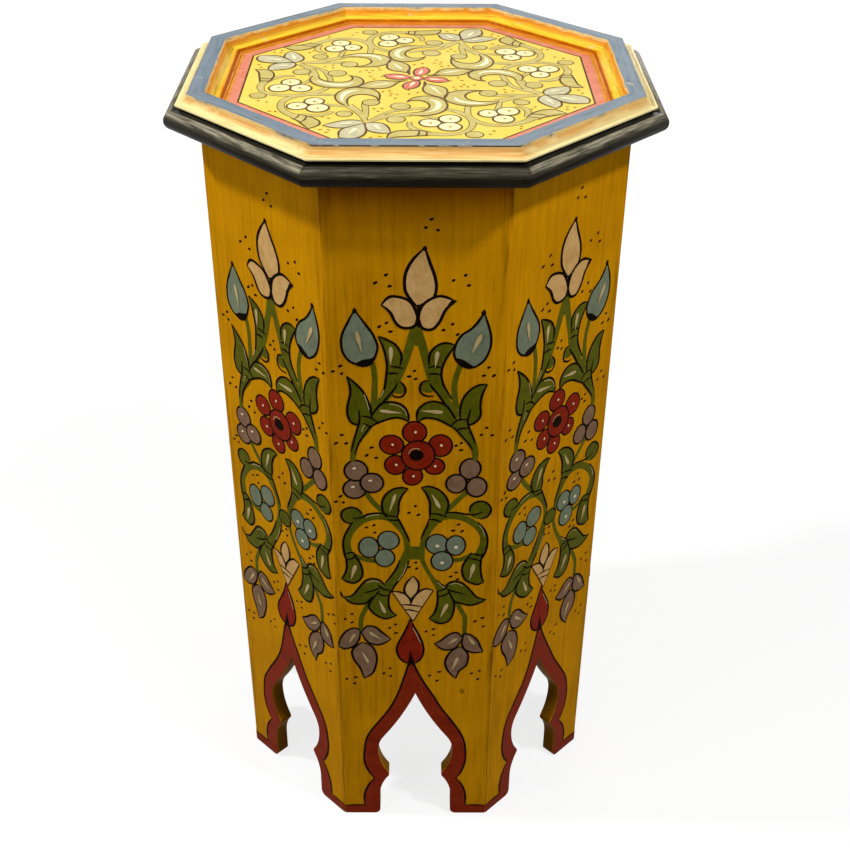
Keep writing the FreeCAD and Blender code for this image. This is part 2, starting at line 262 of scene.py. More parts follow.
# Corner blocks and cleats: sawn pine, glued inside the corners and nailed under the top, left bare.
# The cut nails that hold the cleats, and the headless brads of the rim and nosing, are dull steel.
STEELS = [(0.3, 70, 66, 62), (0.5, 120, 118, 114), (0.7, 150, 146, 140)]
steel = brushed_paint("dull_nail_steel", STEELS, stretch=(900, 900, 300), patch_size=0.004,
                      gloss=(0.35, 0.6), relief=0.00005)
steel.node_tree.nodes["Principled BSDF"].inputs["Metallic"].default_value = 0.9
for name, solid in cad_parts.items():
    if name.endswith(("nails", "brads")):
        solid.data.materials.clear()
        solid.data.materials.append(steel)
    elif name.startswith(("corner_block", "cleat_")):
        solid.data.materials.clear()
        solid.data.materials.append(pine)

# Top board: one flat octagonal board, nailed to the cleats and painted pale yellow, bare underneath.
# Its rebated edge carries the rim, and the paint is thinner and lighter in worn clouds.
TOP_FACE = 0.6
TOP_ARRIS = 0.0003
PANEL_YELLOWS = [(0.3, 230, 196, 68), (0.48, 234, 205, 86), (0.62, 236, 211, 106), (0.78, 240, 221, 144)]
panel = brushed_paint("pale_yellow_panel_paint", PANEL_YELLOWS, stretch=(150, 300, 150), patch_size=0.045,
                      gloss=(0.4, 0.6), relief=0.0001)
eased_copy("top_board", TOP_ARRIS, panel, Vector((0, 0, -1)))

# Nosing: half-round strips mitred round the edge of the top, bradded on and painted black.
# The brush went along each strip. Grey streaks on the crown of the slanted strips are a painted highlight,
# the lower half is painted darker as shade, and a painted shadow darkens the top where the strips meet
# the rim.
NOSING_ARRIS = 0.0003
NOSING_BLACKS = [(0.3, 40, 37, 28), (0.48, 58, 54, 43), (0.6, 76, 71, 57), (0.75, 122, 115, 97)]
SHADED_UNDERSIDE_STARTS = 0.5966
SHADED_UNDERSIDE_FULL = 0.5940
SLANTED_STARTS = 0.0003
SLANTED_FULL = 0.0015
CROWN_STARTS = 0.5965
CROWN_FULL = 0.5982
RIM_SHADOW_STARTS = 0.1632
RIM_SHADOW_FULL = 0.1624


def scaled(tree, direction, scale):
    """A direction made longer or shorter."""
    return add(tree, "ShaderNodeVectorMath", {"operation": "SCALE"}, {
        0: direction, "Scale": scale}).outputs[0]


def strip_streaks(tree, place, along, across):
    """Streaks along the strips round the top, and a place's parts and reach from the middle."""
    parts, reach = reach_of(tree, place)
    bearing = vector_sum(tree, "NORMALIZE", flattened(tree, place))
    outwards = product(tree, reach, across)
    over = add(tree, "ShaderNodeCombineXYZ", inputs={"Z": outwards}).outputs[0]
    line = vector_sum(tree, "ADD", scaled(tree, bearing, along), over)
    upwards = product(tree, parts["Z"], across)
    streak = add(tree, "ShaderNodeTexNoise", {"noise_dimensions": "4D"}, {
        "Vector": line, "W": upwards, "Scale": 1, "Detail": 5, "Roughness": 0.6}).outputs["Fac"]
    return streak, parts, reach


black, tree, place = new_paint("black_nosing_paint", shine=0.03)
streak, parts, reach = strip_streaks(tree, place, along=9, across=700)
tone = ramp(tree, streak, NOSING_BLACKS)
rub = cloud(tree, place, scale=260, rough=0.6)
tone = tint(tree, span(tree, rub, 0.66, 0.74, 0, 0.55), tone, colour(120, 114, 94))
# painted shade: the lower half of the nosing is made darker
shaded_underside = span(tree, parts["Z"], SHADED_UNDERSIDE_STARTS, SHADED_UNDERSIDE_FULL, 0, 0.84)
tone = tint(tree, shaded_underside, tone, colour(17, 13, 7))
# painted highlight: grey streaks along the crown of the slanted strips
past_depth = sum_of(tree, "SUBTRACT", reach, sum_of(tree, "ABSOLUTE", parts["Y"]))
slanted = span(tree, past_depth, SLANTED_STARTS, SLANTED_FULL)
crown = span(tree, parts["Z"], CROWN_STARTS, CROWN_FULL)
crown_highlight = product(tree, slanted, span(tree, streak, 0.4, 0.6, 0.08, 0.66), crown)
tone = tint(tree, crown_highlight, tone, colour(174, 165, 140))
# painted shadow under the lip of the rim, on the top of the nosing
tone = tint(tree, span(tree, reach, RIM_SHADOW_STARTS, RIM_SHADOW_FULL, 0, 0.85), tone, colour(10, 9, 6))
finish(tree, tone, streak, gloss=(0.28, 0.5), relief=0.0003)
for side in SIDES:
    eased_copy(f"nosing_{side}", NOSING_ARRIS, black)

# Rim: a moulded strip on each edge of the top, mitred at the corners and bradded down.
# Its inner cove is yellow, its flat crown grey-blue and its outer cove cream, streaked where the brush
# dragged orange along. Orange on the steep parts of the coves is partly painted shade, and a pale line at
# the inner arris is a painted highlight. A broken dark line, partly painted shade on the step, edges the
# blue in front, and a black line closes the foot.
RIM_ARRIS = 0.0002
RIM_FOOT = 0.128
RIM_LIP = 0.162
# the orange bands on the steep parts of both coves and in the groove at the foot are partly painted shade,
# and the pale band at the inner arris is a painted highlight
RIM_BANDS = (
    (0.1300, 226, 150, 52), (0.1312, 206, 112, 22), (0.1322, 182, 96, 10), (0.1330, 222, 144, 16),
    (0.1345, 242, 190, 40), (0.1368, 246, 208, 62), (0.1388, 242, 194, 52), (0.1402, 232, 160, 40),
    (0.1410, 218, 142, 40), (0.1413, 240, 212, 140), (0.1416, 108, 123, 134), (0.1500, 117, 131, 141),
    (0.1526, 112, 122, 129), (0.1529, 226, 190, 120), (0.1542, 234, 206, 138), (0.1564, 235, 215, 150),
    (0.1605, 236, 220, 160))
BAND_WAVER = 0.0004
INNER_COVE_ENDS = 0.141
OUTER_COVE_STARTS = 0.153
WIDE_STREAKS_END = (0.1592, 0.1582)
NARROW_STREAKS_END = (0.1556, 0.1546)
OUTSIDE = 0.15
FOOT_LINE_TOP = 0.6025
RISER_STARTS = 0.1524
RISER_FOOT = 0.6091
FRONT_STRIP_STARTS = -0.149
FRONT_STRIP_FULL = -0.153
rim_paint, tree, place = new_paint("banded_rim_paint", shine=0.05)
streak, parts, reach = strip_streaks(tree, place, along=7, across=520)
waver = cloud(tree, place, scale=55, rough=0.6)
edge = sum_of(tree, "ADD", reach, span(tree, waver, 0.25, 0.75, -BAND_WAVER, BAND_WAVER))
bands = ramp(tree, span(tree, edge, RIM_FOOT, RIM_LIP), [
    ((r - RIM_FOOT) / (RIM_LIP - RIM_FOOT), *shade) for r, *shade in RIM_BANDS])
tone = tint(tree, span(tree, streak, 0.5, 0.72, 0, 0.4), bands, colour(176, 116, 52), "MULTIPLY")
wear = cloud(tree, place, scale=120, detail=5, rough=0.65)
tone = tint(tree, span(tree, wear, 0.64, 0.7, 0, 0.5), tone, colour(222, 206, 168))
# fine streaks in the coves, wide on the front strip and narrow beside the blue on the others; the wide
# ones on the front are partly painted shade on the steep upper part of the outer cove
fine = strip_streaks(tree, place, along=6, across=1500)[0]
inner_cove = sum_of(tree, "LESS_THAN", reach, INNER_COVE_ENDS)
combed = product(tree, span(tree, fine, 0.52, 0.6, 0, 0.55), inner_cove)
tone = tint(tree, combed, tone, colour(190, 104, 18))
front = span(tree, parts["Y"], FRONT_STRIP_STARTS, FRONT_STRIP_FULL)
front_shade_streaks = product(tree, span(tree, reach, *WIDE_STREAKS_END), front)
narrow = product(tree, span(tree, reach, *NARROW_STREAKS_END), span(tree, waver, 0.44, 0.54))
outer_cove = sum_of(tree, "GREATER_THAN", reach, OUTER_COVE_STARTS)
streaked = product(tree, sum_of(tree, "MAXIMUM", front_shade_streaks, narrow), outer_cove)
streaks_and_shade = product(tree, span(tree, fine, 0.4, 0.6, 0.2, 0.85), streaked)
tone = tint(tree, streaks_and_shade, tone, colour(214, 150, 70))
# the broken line on the riser in front, partly painted shade on the step, and the line along the foot
riser = product(tree, sum_of(tree, "GREATER_THAN", parts["Z"], RISER_FOOT),
                sum_of(tree, "GREATER_THAN", reach, RISER_STARTS))
broken_line_and_shade = product(tree, span(tree, waver, 0.4, 0.46, 0, 0.9), product(tree, riser, front))
tone = tint(tree, broken_line_and_shade, tone, colour(30, 32, 38))
foot_line = product(tree, sum_of(tree, "LESS_THAN", parts["Z"], FOOT_LINE_TOP),
                    sum_of(tree, "GREATER_THAN", reach, OUTSIDE))
tone = tint(tree, foot_line, tone, colour(18, 16, 12))
finish(tree, tone, streak, gloss=(0.36, 0.58), relief=0.0002)
for side in SIDES:
    eased_copy(f"rim_{side}", RIM_ARRIS, rim_paint)

# Arch borders: a band of red paint that follows each sawn arch and runs along the feet, edged with a dark
# line. It is brushed on freehand over the ochre, and its two sides meet in a spire under the spear head.
# Like all the painting it is drawn flat, in millimetres, as thin films that are then laid on the table.
ROUND_THE_BOARDS = {"Copies": 8, "First turn": 0.0, "Turn": math.radians(45), "Stand": math.radians(90),
                    "Place": (0, -BOARD_FACE, 0)}
FILM = 0.00006
LIFT = 0.05 * FILM
LIFTS = 9
NO_AREA = 0.001
SMOOTHNESS = 6
DAB_CORNERS = 24
HAND_SCALE = 22
LAST_TURN = math.radians(315)
LEAN_AT_FOOT = (0.17, 0.21)
LEAN_AT_HEAD = (0.49, 0.55)
LEAN_BACK = -1.6
PATTERN_PATCH = 0.012
FOOT_LINE = [(60.2, 9.5), (52, 10), (43, 10.2)]
LEG_LINE = [(43, 10.2), (43.2, 18), (42, 28), (38.8, 37), (34.4, 44)]
RIGHT_SPIRE = [(34.4, 44), (38.5, 51.5), (41.6, 62), (42.2, 75), (39.3, 93), (31, 110), (20.5, 127),
               (12.5, 144), (5.5, 160), (0, 173), (-3.9, 187)]
LEFT_SPIRE = [(-34.4, 44), (-38.5, 51.5), (-41.6, 62), (-42.2, 75), (-39.3, 93), (-30.5, 110), (-20.5, 127),
              (-13.5, 144), (-9.3, 160), (-6.2, 173), (-3.9, 187)]
BOARD_EDGE = 60.2
FACE_SKIN = 0.0005
ARCH_HALF = 0.04
ARCH_TOP = 0.15
BORDER_REDS = ((111, 30, 9), (137, 40, 12), (151, 52, 19))

# the tree that lays one flat painting on every board, or round the top
laying = bpy.data.node_groups.new("lay_round_the_table", "GeometryNodeTree")
for name, kind in (("Painting", "Geometry"), ("Copies", "Int"), ("First turn", "Float"), ("Turn", "Float"),
                   ("Stand", "Float"), ("Place", "Vector"), ("Wander", "Float"), ("Lean", "Float"),
                   ("Paint", "Material")):
    laying.interface.new_socket(name, in_out="INPUT", socket_type=f"NodeSocket{kind}")
laying.interface.new_socket("Painting", in_out="OUTPUT", socket_type="NodeSocketGeometry")
given = add(laying, "NodeGroupInput").outputs
stand = add(laying, "ShaderNodeCombineXYZ", inputs={"X": given["Stand"]}).outputs[0]
upright = add(laying, "GeometryNodeTransform", inputs={
    "Geometry": given["Painting"], "Translation": given["Place"], "Rotation": stand}).outputs[0]
centres = add(laying, "GeometryNodePoints", inputs={"Count": given["Copies"]}).outputs[0]
count = add(laying, "GeometryNodeInputIndex").outputs[0]
turned = sum_of(laying, "MULTIPLY_ADD", count, given["Turn"], given["First turn"])
turn = add(laying, "ShaderNodeCombineXYZ", inputs={"Z": turned}).outputs[0]
copies = add(laying, "GeometryNodeInstanceOnPoints", inputs={
    "Points": centres, "Instance": upright, "Rotation": turn}).outputs[0]
numbered = add(laying, "GeometryNodeCaptureAttribute", {"domain": "INSTANCE"}, {"Geometry": copies})
numbered.capture_items.new("FLOAT", "Turned")
laying.links.new(turned, numbered.inputs["Turned"])
real = add(laying, "GeometryNodeRealizeInstances", inputs={"Geometry": numbered.outputs[0]}).outputs[0]
# the hand wanders a little over each surface
spot = add(laying, "GeometryNodeInputPosition").outputs[0]
hand = add(laying, "ShaderNodeTexNoise", inputs={
    "Vector": spot, "Scale": HAND_SCALE, "Detail": 1}).outputs["Color"]
swing = vector_sum(laying, "SUBTRACT", hand, (0.5, 0.5, 0.5))
drift = scaled(laying, swing, given["Wander"])
facing = add(laying, "GeometryNodeInputNormal").outputs["True Normal"]
flat_drift = vector_sum(laying, "SUBTRACT", drift, vector_sum(laying, "PROJECT", drift, facing))
# and the stem leans more from board to board
board = sum_of(laying, "DIVIDE", numbered.outputs["Turned"], LAST_TURN)
height = add(laying, "ShaderNodeSeparateXYZ", inputs={"Vector": spot}).outputs["Z"]
rise = sum_of(laying, "MULTIPLY_ADD", span(laying, height, *LEAN_AT_HEAD), LEAN_BACK,
              span(laying, height, *LEAN_AT_FOOT))
lean = product(laying, sum_of(laying, "POWER", board, 2.0), rise, given["Lean"])
sideways = vector_sum(laying, "CROSS_PRODUCT", (0, 0, 1), facing)
offset = vector_sum(laying, "ADD", flat_drift, scaled(laying, sideways, lean))
moved = add(laying, "GeometryNodeSetPosition", inputs={"Geometry": real, "Offset": offset}).outputs[0]
dressed = add(laying, "GeometryNodeSetMaterial", inputs={
    "Geometry": moved, "Material": given["Paint"]}).outputs[0]
add(laying, "NodeGroupOutput", inputs={0: dressed})

# the tree that brushes a layer's strokes, presses its dabs and keeps its filled forms, then lays them
painting = bpy.data.node_groups.new("brush_strokes_and_dabs", "GeometryNodeTree")
for item in laying.interface.items_tree:
    if item.in_out == "INPUT":
        painting.interface.new_socket(item.name, in_out="INPUT", socket_type=item.socket_type)
painting.interface.new_socket("Smoothness", in_out="INPUT", socket_type="NodeSocketInt")
painting.interface.new_socket("Dab corners", in_out="INPUT", socket_type="NodeSocketInt")
painting.interface.new_socket("Painting", in_out="OUTPUT", socket_type="NodeSocketGeometry")
given = add(painting, "NodeGroupInput").outputs
width, length, tilt = (add(painting, "GeometryNodeInputNamedAttribute", {"data_type": "FLOAT"}, {
    "Name": key}).outputs[0] for key in ("reach", "length", "tilt"))
beside = add(painting, "GeometryNodeInputMeshEdgeNeighbors").outputs[0]
open_edge = add(painting, "FunctionNodeCompare", {"data_type": "INT", "operation": "EQUAL"}, {
    2: beside, 3: 0}).outputs[0]
spines = add(painting, "GeometryNodeMeshToCurve", inputs={
    "Mesh": given["Painting"], "Selection": open_edge}).outputs[0]
eased = add(painting, "GeometryNodeCurveSplineType", {"spline_type": "CATMULL_ROM"}, {
    "Curve": spines}).outputs[0]
finer = add(painting, "GeometryNodeSetSplineResolution", inputs={
    "Geometry": eased, "Resolution": given["Smoothness"]}).outputs[0]
drawn = add(painting, "GeometryNodeResampleCurve", {"mode": "EVALUATED"}, {"Curve": finer}).outputs[0]
level = add(painting, "GeometryNodeSetCurveNormal", {"mode": "Z_UP"}, {"Curve": drawn}).outputs[0]
bristles = add(painting, "GeometryNodeCurvePrimitiveLine", inputs={
    "Start": (-1, 0, 0), "End": (1, 0, 0)}).outputs[0]
ribbons = add(painting, "GeometryNodeCurveToMesh", inputs={
    "Curve": level, "Profile Curve": bristles, "Scale": sum_of(painting, "MAXIMUM", width, 0.0)}).outputs[0]
is_dab = add(painting, "FunctionNodeCompare", {"operation": "GREATER_THAN"}, {0: length, 1: 0.0}).outputs[0]
dab_points = add(painting, "GeometryNodeSeparateGeometry", inputs={
    "Geometry": given["Painting"], "Selection": is_dab}).outputs[0]
disc = add(painting, "GeometryNodeMeshCircle", {"fill_type": "NGON"}, {
    "Vertices": given["Dab corners"], "Radius": 1.0}).outputs[0]
dab_size = add(painting, "ShaderNodeCombineXYZ", inputs={"X": width, "Y": length, "Z": 1.0}).outputs[0]
dab_turn = add(painting, "ShaderNodeCombineXYZ", inputs={"Z": tilt}).outputs[0]
dabs = add(painting, "GeometryNodeInstanceOnPoints", inputs={
    "Points": dab_points, "Instance": disc, "Rotation": dab_turn, "Scale": dab_size}).outputs[0]
real_dabs = add(painting, "GeometryNodeRealizeInstances", inputs={"Geometry": dabs}).outputs[0]
filled = add(painting, "GeometryNodeSeparateGeometry", {"domain": "FACE"}, {
    "Geometry": given["Painting"]}).outputs[0]
together = add(painting, "GeometryNodeJoinGeometry", inputs={"Geometry": ribbons})
painting.links.new(real_dabs, together.inputs[0])
painting.links.new(filled, together.inputs[0])
side_up = add(painting, "ShaderNodeSeparateXYZ", inputs={
    0: add(painting, "GeometryNodeInputNormal").outputs["True Normal"]}).outputs["Z"]
upside_down = add(painting, "FunctionNodeCompare", {"operation": "LESS_THAN"}, {
    0: side_up, 1: 0.0}).outputs[0]
flipped = add(painting, "GeometryNodeFlipFaces", inputs={
    "Mesh": together.outputs[0], "Selection": upside_down}).outputs[0]
laid = add(painting, "GeometryNodeGroup", {"node_tree": laying}, {"Painting": flipped})
for item in laying.interface.items_tree:
    if item.in_out == "INPUT" and item.name != "Painting":
        painting.links.new(given[item.name], laid.inputs[item.name])
add(painting, "NodeGroupOutput", inputs={0: laid.outputs[0]})


def flowing(points, steps=6):
    """A smooth line through points that are given."""
    line = []
    last = len(points) - 1
    for i in range(last):
        before, start, end, after = (Vector(points[min(max(i + k, 0), last)]) for k in (-1, 0, 1, 2))
        for t in (step / steps for step in range(steps)):
            line.append(0.5 * (2 * start + (end - before) * t
                               + (2 * before - 5 * start + 4 * end - after) * t ** 2
                               + (3 * start - before - 3 * end + after) * t ** 3))
    return line + [Vector(points[-1])]


class Layer:
    """Everything that one paint is used for on a flat painting: strokes, dabs and filled forms."""

    def __init__(self, fine_brush=0.85):
        self.fine_brush = fine_brush
        self.items = 0
        self.points = []
        self.joins = []
        self.faces = []
        self.reach = []
        self.length = []
        self.tilt = []

    def point(self, x, y, height, reach=0.0, length=0.0, tilt=0.0):
        """One point of the layer, with the brush's half width there."""
        self.points.append((0.001 * x, 0.001 * y, height))
        self.reach.append(0.001 * reach)
        self.length.append(0.001 * length)
        self.tilt.append(math.radians(tilt))

    def lifted(self, height):
        """The height of the next item, a hair over its neighbours, so that no two films share a plane."""
        self.items += 1
        return height + LIFT * (self.items % LIFTS)

    def stroke(self, points, height):
        """A brush stroke through points of (x, y, half its width)."""
        height = self.lifted(height)
        first = len(self.points)
        for x, y, half in points:
            self.point(x, y, height, half)
        self.joins += [(k, k + 1) for k in range(first, len(self.points) - 1)]

    def fill(self, outline, height):
        """A filled form inside an outline, cut into triangles, without those that have no area."""
        height = self.lifted(height)
        first = len(self.points)
        for x, y in outline:
            self.point(x, y, height)
        flat = [Vector((x, y, 0)) for x, y in outline]
        for corners in tessellate_polygon([flat]):
            a, b, c = (flat[k] for k in corners)
            if (b - a).cross(c - a).length > NO_AREA:
                self.faces.append([first + k for k in corners])

    def mesh(self, name):
        """The layer as points, joins and faces for the painting tree."""
        mesh = bpy.data.meshes.new(name)
        mesh.from_pydata(self.points, self.joins, self.faces)
        for key in ("reach", "length", "tilt"):
            mesh.attributes.new(key, "FLOAT", "POINT").data.foreach_set("value", getattr(self, key))
        return mesh


def mark(on, depth, *points):
    """A dark line drawn with the tip of the brush, through points of (x, y) or (x, y, half its width)."""
    half = 0.9 * on["ink"].fine_brush
    ends = (0, len(points) - 1)
    full = [(*p, 0.5 * half if k in ends else half) if len(p) == 2 else p for k, p in enumerate(points)]
    on["ink"].stroke(full, (depth + 1) * FILM)


def form(on, paint, depth, *runs, line=None):
    """A filled form: each run is one smooth side, and a side given as a list is edged with a dark line."""
    line = on["ink"].fine_brush if line is None else line
    outline = []
    for run in runs:
        outline += [tuple(p) for p in flowing(run)][:-1]
        if line and isinstance(run, list):
            halves = [0.5] + [1.0] * (len(run) - 2) + [0.5]
            edge = [(x, y, line * half) for (x, y), half in zip(run, halves)]
            on["ink"].stroke(edge, (depth + 1.5) * FILM)
    if runs[0][0] != runs[-1][-1]:
        outline.append(runs[-1][-1])
    on[paint].fill(outline, (depth + 1) * FILM)


def pattern_paint(name, shades, stretch, gloss=(0.42, 0.6), relief=0.0001, shine=0.03):
    """A paint of the pattern, in three shades from dark to light."""
    stops = [(place, *shade) for place, shade in zip((0.3, 0.5, 0.7), shades)]
    return brushed_paint(name, stops, stretch, PATTERN_PATCH, gloss, relief, shine)


def board_paint(name, shades, shine=0.03):
    """A paint of the pattern on the boards, brushed a little longer upwards."""
    return pattern_paint(name, shades, stretch=(300, 300, 170), relief=0.00012, shine=shine)


def lay(name, layer, paint, sizes):
    """Runs the painting tree on one flat layer and keeps what it makes as a plain piece on the table."""
    flat = bpy.data.objects.new(f"{name}_flat", layer.mesh(name))
    scene.collection.objects.link(flat)
    modifier = flat.modifiers.new("lay", "NODES")
    modifier.node_group = painting
    values = {"Smoothness": SMOOTHNESS, "Dab corners": DAB_CORNERS, "Paint": paint, **sizes}
    for socket in painting.interface.items_tree:
        if socket.in_out == "INPUT" and socket.name in values:
            modifier[socket.identifier] = values[socket.name]
    ready = flat.evaluated_get(bpy.context.evaluated_depsgraph_get())
    piece = bpy.data.objects.new(name, bpy.data.meshes.new_from_object(ready))
    bpy.data.objects.remove(flat)
    scene.collection.objects.link(piece)
    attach(piece, "root")


boards = {name: Layer() for name in ("green", "cream", "blue", "purple", "red", "ink", "glint", "spark")}
front_board = [v.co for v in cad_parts["side_board_front"].data.vertices]
half_arch = {(round(1000 * p.x, 3), round(1000 * p.z, 3)) for p in front_board
             if p.y < FACE_SKIN - BOARD_FACE and 0 <= p.x < ARCH_HALF and p.z < ARCH_TOP}
arch = sorted(half_arch, key=lambda p: p[1])
foot_and_leg = flowing(FOOT_LINE)[:-1] + flowing(LEG_LINE)[:-1]
right_side = foot_and_leg + flowing(RIGHT_SPIRE)
left_side = [Vector((-p.x, p.y)) for p in foot_and_leg] + flowing(LEFT_SPIRE)[:-1]
outline = ([(BOARD_EDGE, 0)] + [tuple(p) for p in right_side] + [tuple(p) for p in left_side[::-1]]
           + [(-BOARD_EDGE, 0)] + [(-x, z) for x, z in arch] + [(x, z) for x, z in arch[::-1] if x > 0])
border = Layer()
border.fill(outline, 4 * FILM)
for line in (FOOT_LINE, LEG_LINE):
    mark(boards, 5, *line)
    mark(boards, 5, *[(-x, y) for x, y in line])
mark(boards, 5, *RIGHT_SPIRE)
mark(boards, 5, *LEFT_SPIRE)
form(boards, "ink", 6, ((-3.9, 191), (-5.4, 181), (-8, 168.5)), ((-8, 168.5), (-3.2, 176.5)),
     ((-3.2, 176.5), (2, 168.5)), ((2, 168.5), (-2, 181), (-3.9, 191)))
lay("panel_border", border, board_paint("brick_red_border_paint", BORDER_REDS),
    {**ROUND_THE_BOARDS, "Wander": 0.0, "Lean": 0.0})

# Panel ornament: a flowering stem painted on each board over the dry ochre, from the arch up to a tulip.
# Leaves, buds, berries and petals are flat fills with a dark outline and a pale highlight each, and the
# boards differ a little, because they were painted by eye.
WANDER = 0.003
LEAN = 0.004
BERRY_LINE = 1.05
TULIP_LINE = 1.05
BOARD_PAINTS = {
    "green": ("leaf_green_paint", (71, 72, 4), (90, 90, 8), (107, 107, 20)),
    "cream": ("petal_cream_paint", (190, 146, 84), (216, 170, 104), (228, 188, 128)),
    "blue": ("bud_grey_blue_paint", (102, 109, 90), (121, 130, 105), (136, 144, 117)),
    "purple": ("berry_mauve_paint", (111, 82, 61), (134, 102, 77), (150, 118, 93)),
    "red": ("flower_red_paint", (114, 22, 5), (138, 33, 9), (152, 46, 18)),
    "ink": ("dark_outline_paint", (12, 7, 3), (19, 11, 5), (34, 21, 10)),
    "glint": ("pale_highlight_paint", (176, 148, 94), (200, 174, 120), (218, 196, 148)),
    "spark": ("ivory_dot_paint", (240, 214, 168), (250, 230, 190), (253, 240, 212))}


def stroke(on, paint, depth, *points, line=0.0):
    """One brush stroke, with a dark edge if line is given; depth puts later paint over earlier."""
    on[paint].stroke(points, (depth + 1) * FILM)
    if line:
        on["ink"].stroke([(x, y, half + line) for x, y, half in points], (depth + 0.5) * FILM)


def dab(on, paint, depth, x, y, across, along=None, tilt=0, line=None):
    """One round or oval dab of paint with its dark edge."""
    line = on["ink"].fine_brush if line is None else line
    along = along or across
    on[paint].point(x, y, on[paint].lifted((depth + 1) * FILM), across - line / 2, along - line / 2, tilt)
    if line:
        on["ink"].point(x, y, on["ink"].lifted((depth + 0.5) * FILM), across + line, along + line, tilt)


def glint(on, x1, y1, x2, y2, half=1.2, depth=9):
    """A short pale highlight, full where it starts and drawn out to nothing."""
    near = (x1 + 0.28 * (x2 - x1), y1 + 0.28 * (y2 - y1))
    on["glint"].stroke([(x1, y1, 0.45 * half), (*near, half), (x2, y2, 0.15)], (depth + 1) * FILM)


def pale_edge(on, *points, depth=8):
    """A thin pale line drawn just inside a dark one."""
    on["glint"].stroke([(x, y, 0.3) for x, y in points], (depth + 1) * FILM)


# tulip
form(boards, "cream", 2, [(1.4, 496), (-5.5, 505), (-7.2, 512), (-6.5, 521), (-2.3, 530), (5.3, 538.5)],
     [(5.3, 538.5), (8.4, 529), (12.2, 519), (13.7, 511), (12.5, 503.5), (8, 499.5), (1.4, 496)],
     line=TULIP_LINE)
form(boards, "cream", 4,
     [(1.4, 488), (-0.5, 495), (-5, 501), (-13.5, 503.8), (-18.5, 502.7), (-22.5, 497.5)],
     [(-22.5, 497.5), (-17, 492), (-13.5, 484.8), (-10, 481), (-5, 480), (0, 482), (1.4, 488)],
     line=TULIP_LINE)
form(boards, "cream", 4,
     [(2.8, 487), (3, 492), (5, 497), (9, 501), (15, 503.8), (20, 503.4), (26.5, 500.3)],
     [(26.5, 500.3), (20.5, 494), (17, 486), (13, 480.5), (9, 478.8), (4.5, 480.5), (2.8, 487)],
     line=TULIP_LINE)
mark(boards, 3, (2, 497.5, 0.5), (2.1, 493, 1.2), (2.1, 487, 1.4), (2.3, 480.5, 0.6))
mark(boards, 5, (5.5, 540, 0.4), (5.3, 538, 1.5), (5.1, 536.2, 0.4))
mark(boards, 5, (27.4, 500.6, 0.3), (24.4, 499.2, 1.5), (20.8, 494.6, 0.3))
# buds on their stems
stroke(boards, "green", 0, (-29.5, 453, 2), (-27.7, 443, 2), (-27.8, 432, 2.1), (-28.5, 416, 2.4))
stroke(boards, "green", 0, (30, 452, 2), (27, 441, 2), (26.5, 432, 2.1), (28, 416, 2.4))
form(boards, "blue", 2,
     [(-40, 493.5), (-45, 483), (-48.5, 475), (-49.7, 468), (-48.8, 460), (-45, 454), (-40, 451.6),
      (-36, 450.7), (-30.5, 453), (-27, 459), (-25.5, 466), (-28, 474), (-33, 482), (-40, 493.5)])
form(boards, "blue", 2,
     [(45.3, 492.5), (43, 487), (38, 480), (31, 474.5), (27, 468.5), (25.3, 461), (27, 455), (30, 452),
      (35.5, 449.5), (40, 450), (46, 455), (49.5, 463), (50.5, 472), (49, 481), (45.3, 492.5)])
form(boards, "ink", 4, [(-41.5, 451.8), (-36, 450.3), (-30.5, 452.4), (-26.8, 458)],
     [(-26.8, 458), (-31, 455.4), (-36, 454.4), (-41.5, 451.8)])
form(boards, "ink", 4, [(26.6, 456.5), (30, 451.6), (35.5, 449.2), (39, 449.8)],
     [(39, 449.8), (34.5, 452.4), (30.8, 455), (26.6, 456.5)])
mark(boards, 4, (-40, 494.8, 0.4), (-40, 492.6, 1.5), (-40, 490.6, 0.4))
mark(boards, 4, (45.4, 494, 0.4), (45.1, 491.6, 1.5), (44.8, 489.6, 0.4))
glint(boards, -39, 477, -36.3, 461, 1.5)
glint(boards, 44.2, 475.5, 37, 460, 1.6)
# the two stems below the tulip, their leaves and curls
stroke(boards, "green", 1, (-0.3, 481.5, 2.6), (-4, 466, 2.8), (-8, 452, 2.8), (-12, 441, 2.8),
       (-17, 431, 2.8), (-24, 420, 3), (-30, 411, 3.8))
stroke(boards, "green", 1, (1.3, 481.5, 2.6), (5, 464, 2.8), (8.5, 450, 2.8), (11, 440, 2.8),
       (16, 430, 2.8), (22, 420, 3), (29, 409, 3.8))
form(boards, "green", 1, ((-2.4, 481.5), (3.6, 481.5)), ((3.6, 481.5), (5, 472)), ((5, 472), (0.4, 465.8)),
     ((0.4, 465.8), (-4, 472)))
form(boards, "green", 2, [(-25, 424), (-21, 433), (-19.2, 447), (-19.5, 455), (-21.5, 465), (-24.7, 473.3)],
     [(-24.7, 473.3), (-20, 471.5), (-13.5, 467.5), (-9.8, 461), (-9.3, 456), (-10.3, 451)],
     ((-10.3, 451), (-12.5, 443), (-16.5, 434), (-22, 425)))
form(boards, "green", 2, ((21.5, 424), (14.5, 436), (10.8, 445), (9.3, 451)),
     [(9.3, 451), (8.8, 456), (10, 462), (14.5, 467), (20, 468.7), (26, 467)],
     [(26, 467), (22.5, 461), (19.5, 455), (17.5, 448), (17.5, 441), (19.5, 434), (25, 424)])
mark(boards, 4, (-16.7, 450.6), (-12.2, 450.1), (-8.1, 449))
mark(boards, 4, (-20.4, 444.7), (-15, 445.2), (-11.3, 444.8))
mark(boards, 4, (8.2, 449.1), (12.3, 450.7), (17.3, 449.1))
mark(boards, 4, (8.7, 444.3), (12.5, 444.8), (16.5, 444))
glint(boards, -16.3, 466, -16.7, 452, 1.5)
glint(boards, 14.4, 462.5, 13, 450, 1.5)
dab(boards, "green", 2, -11.2, 433, 4.4, line=0)
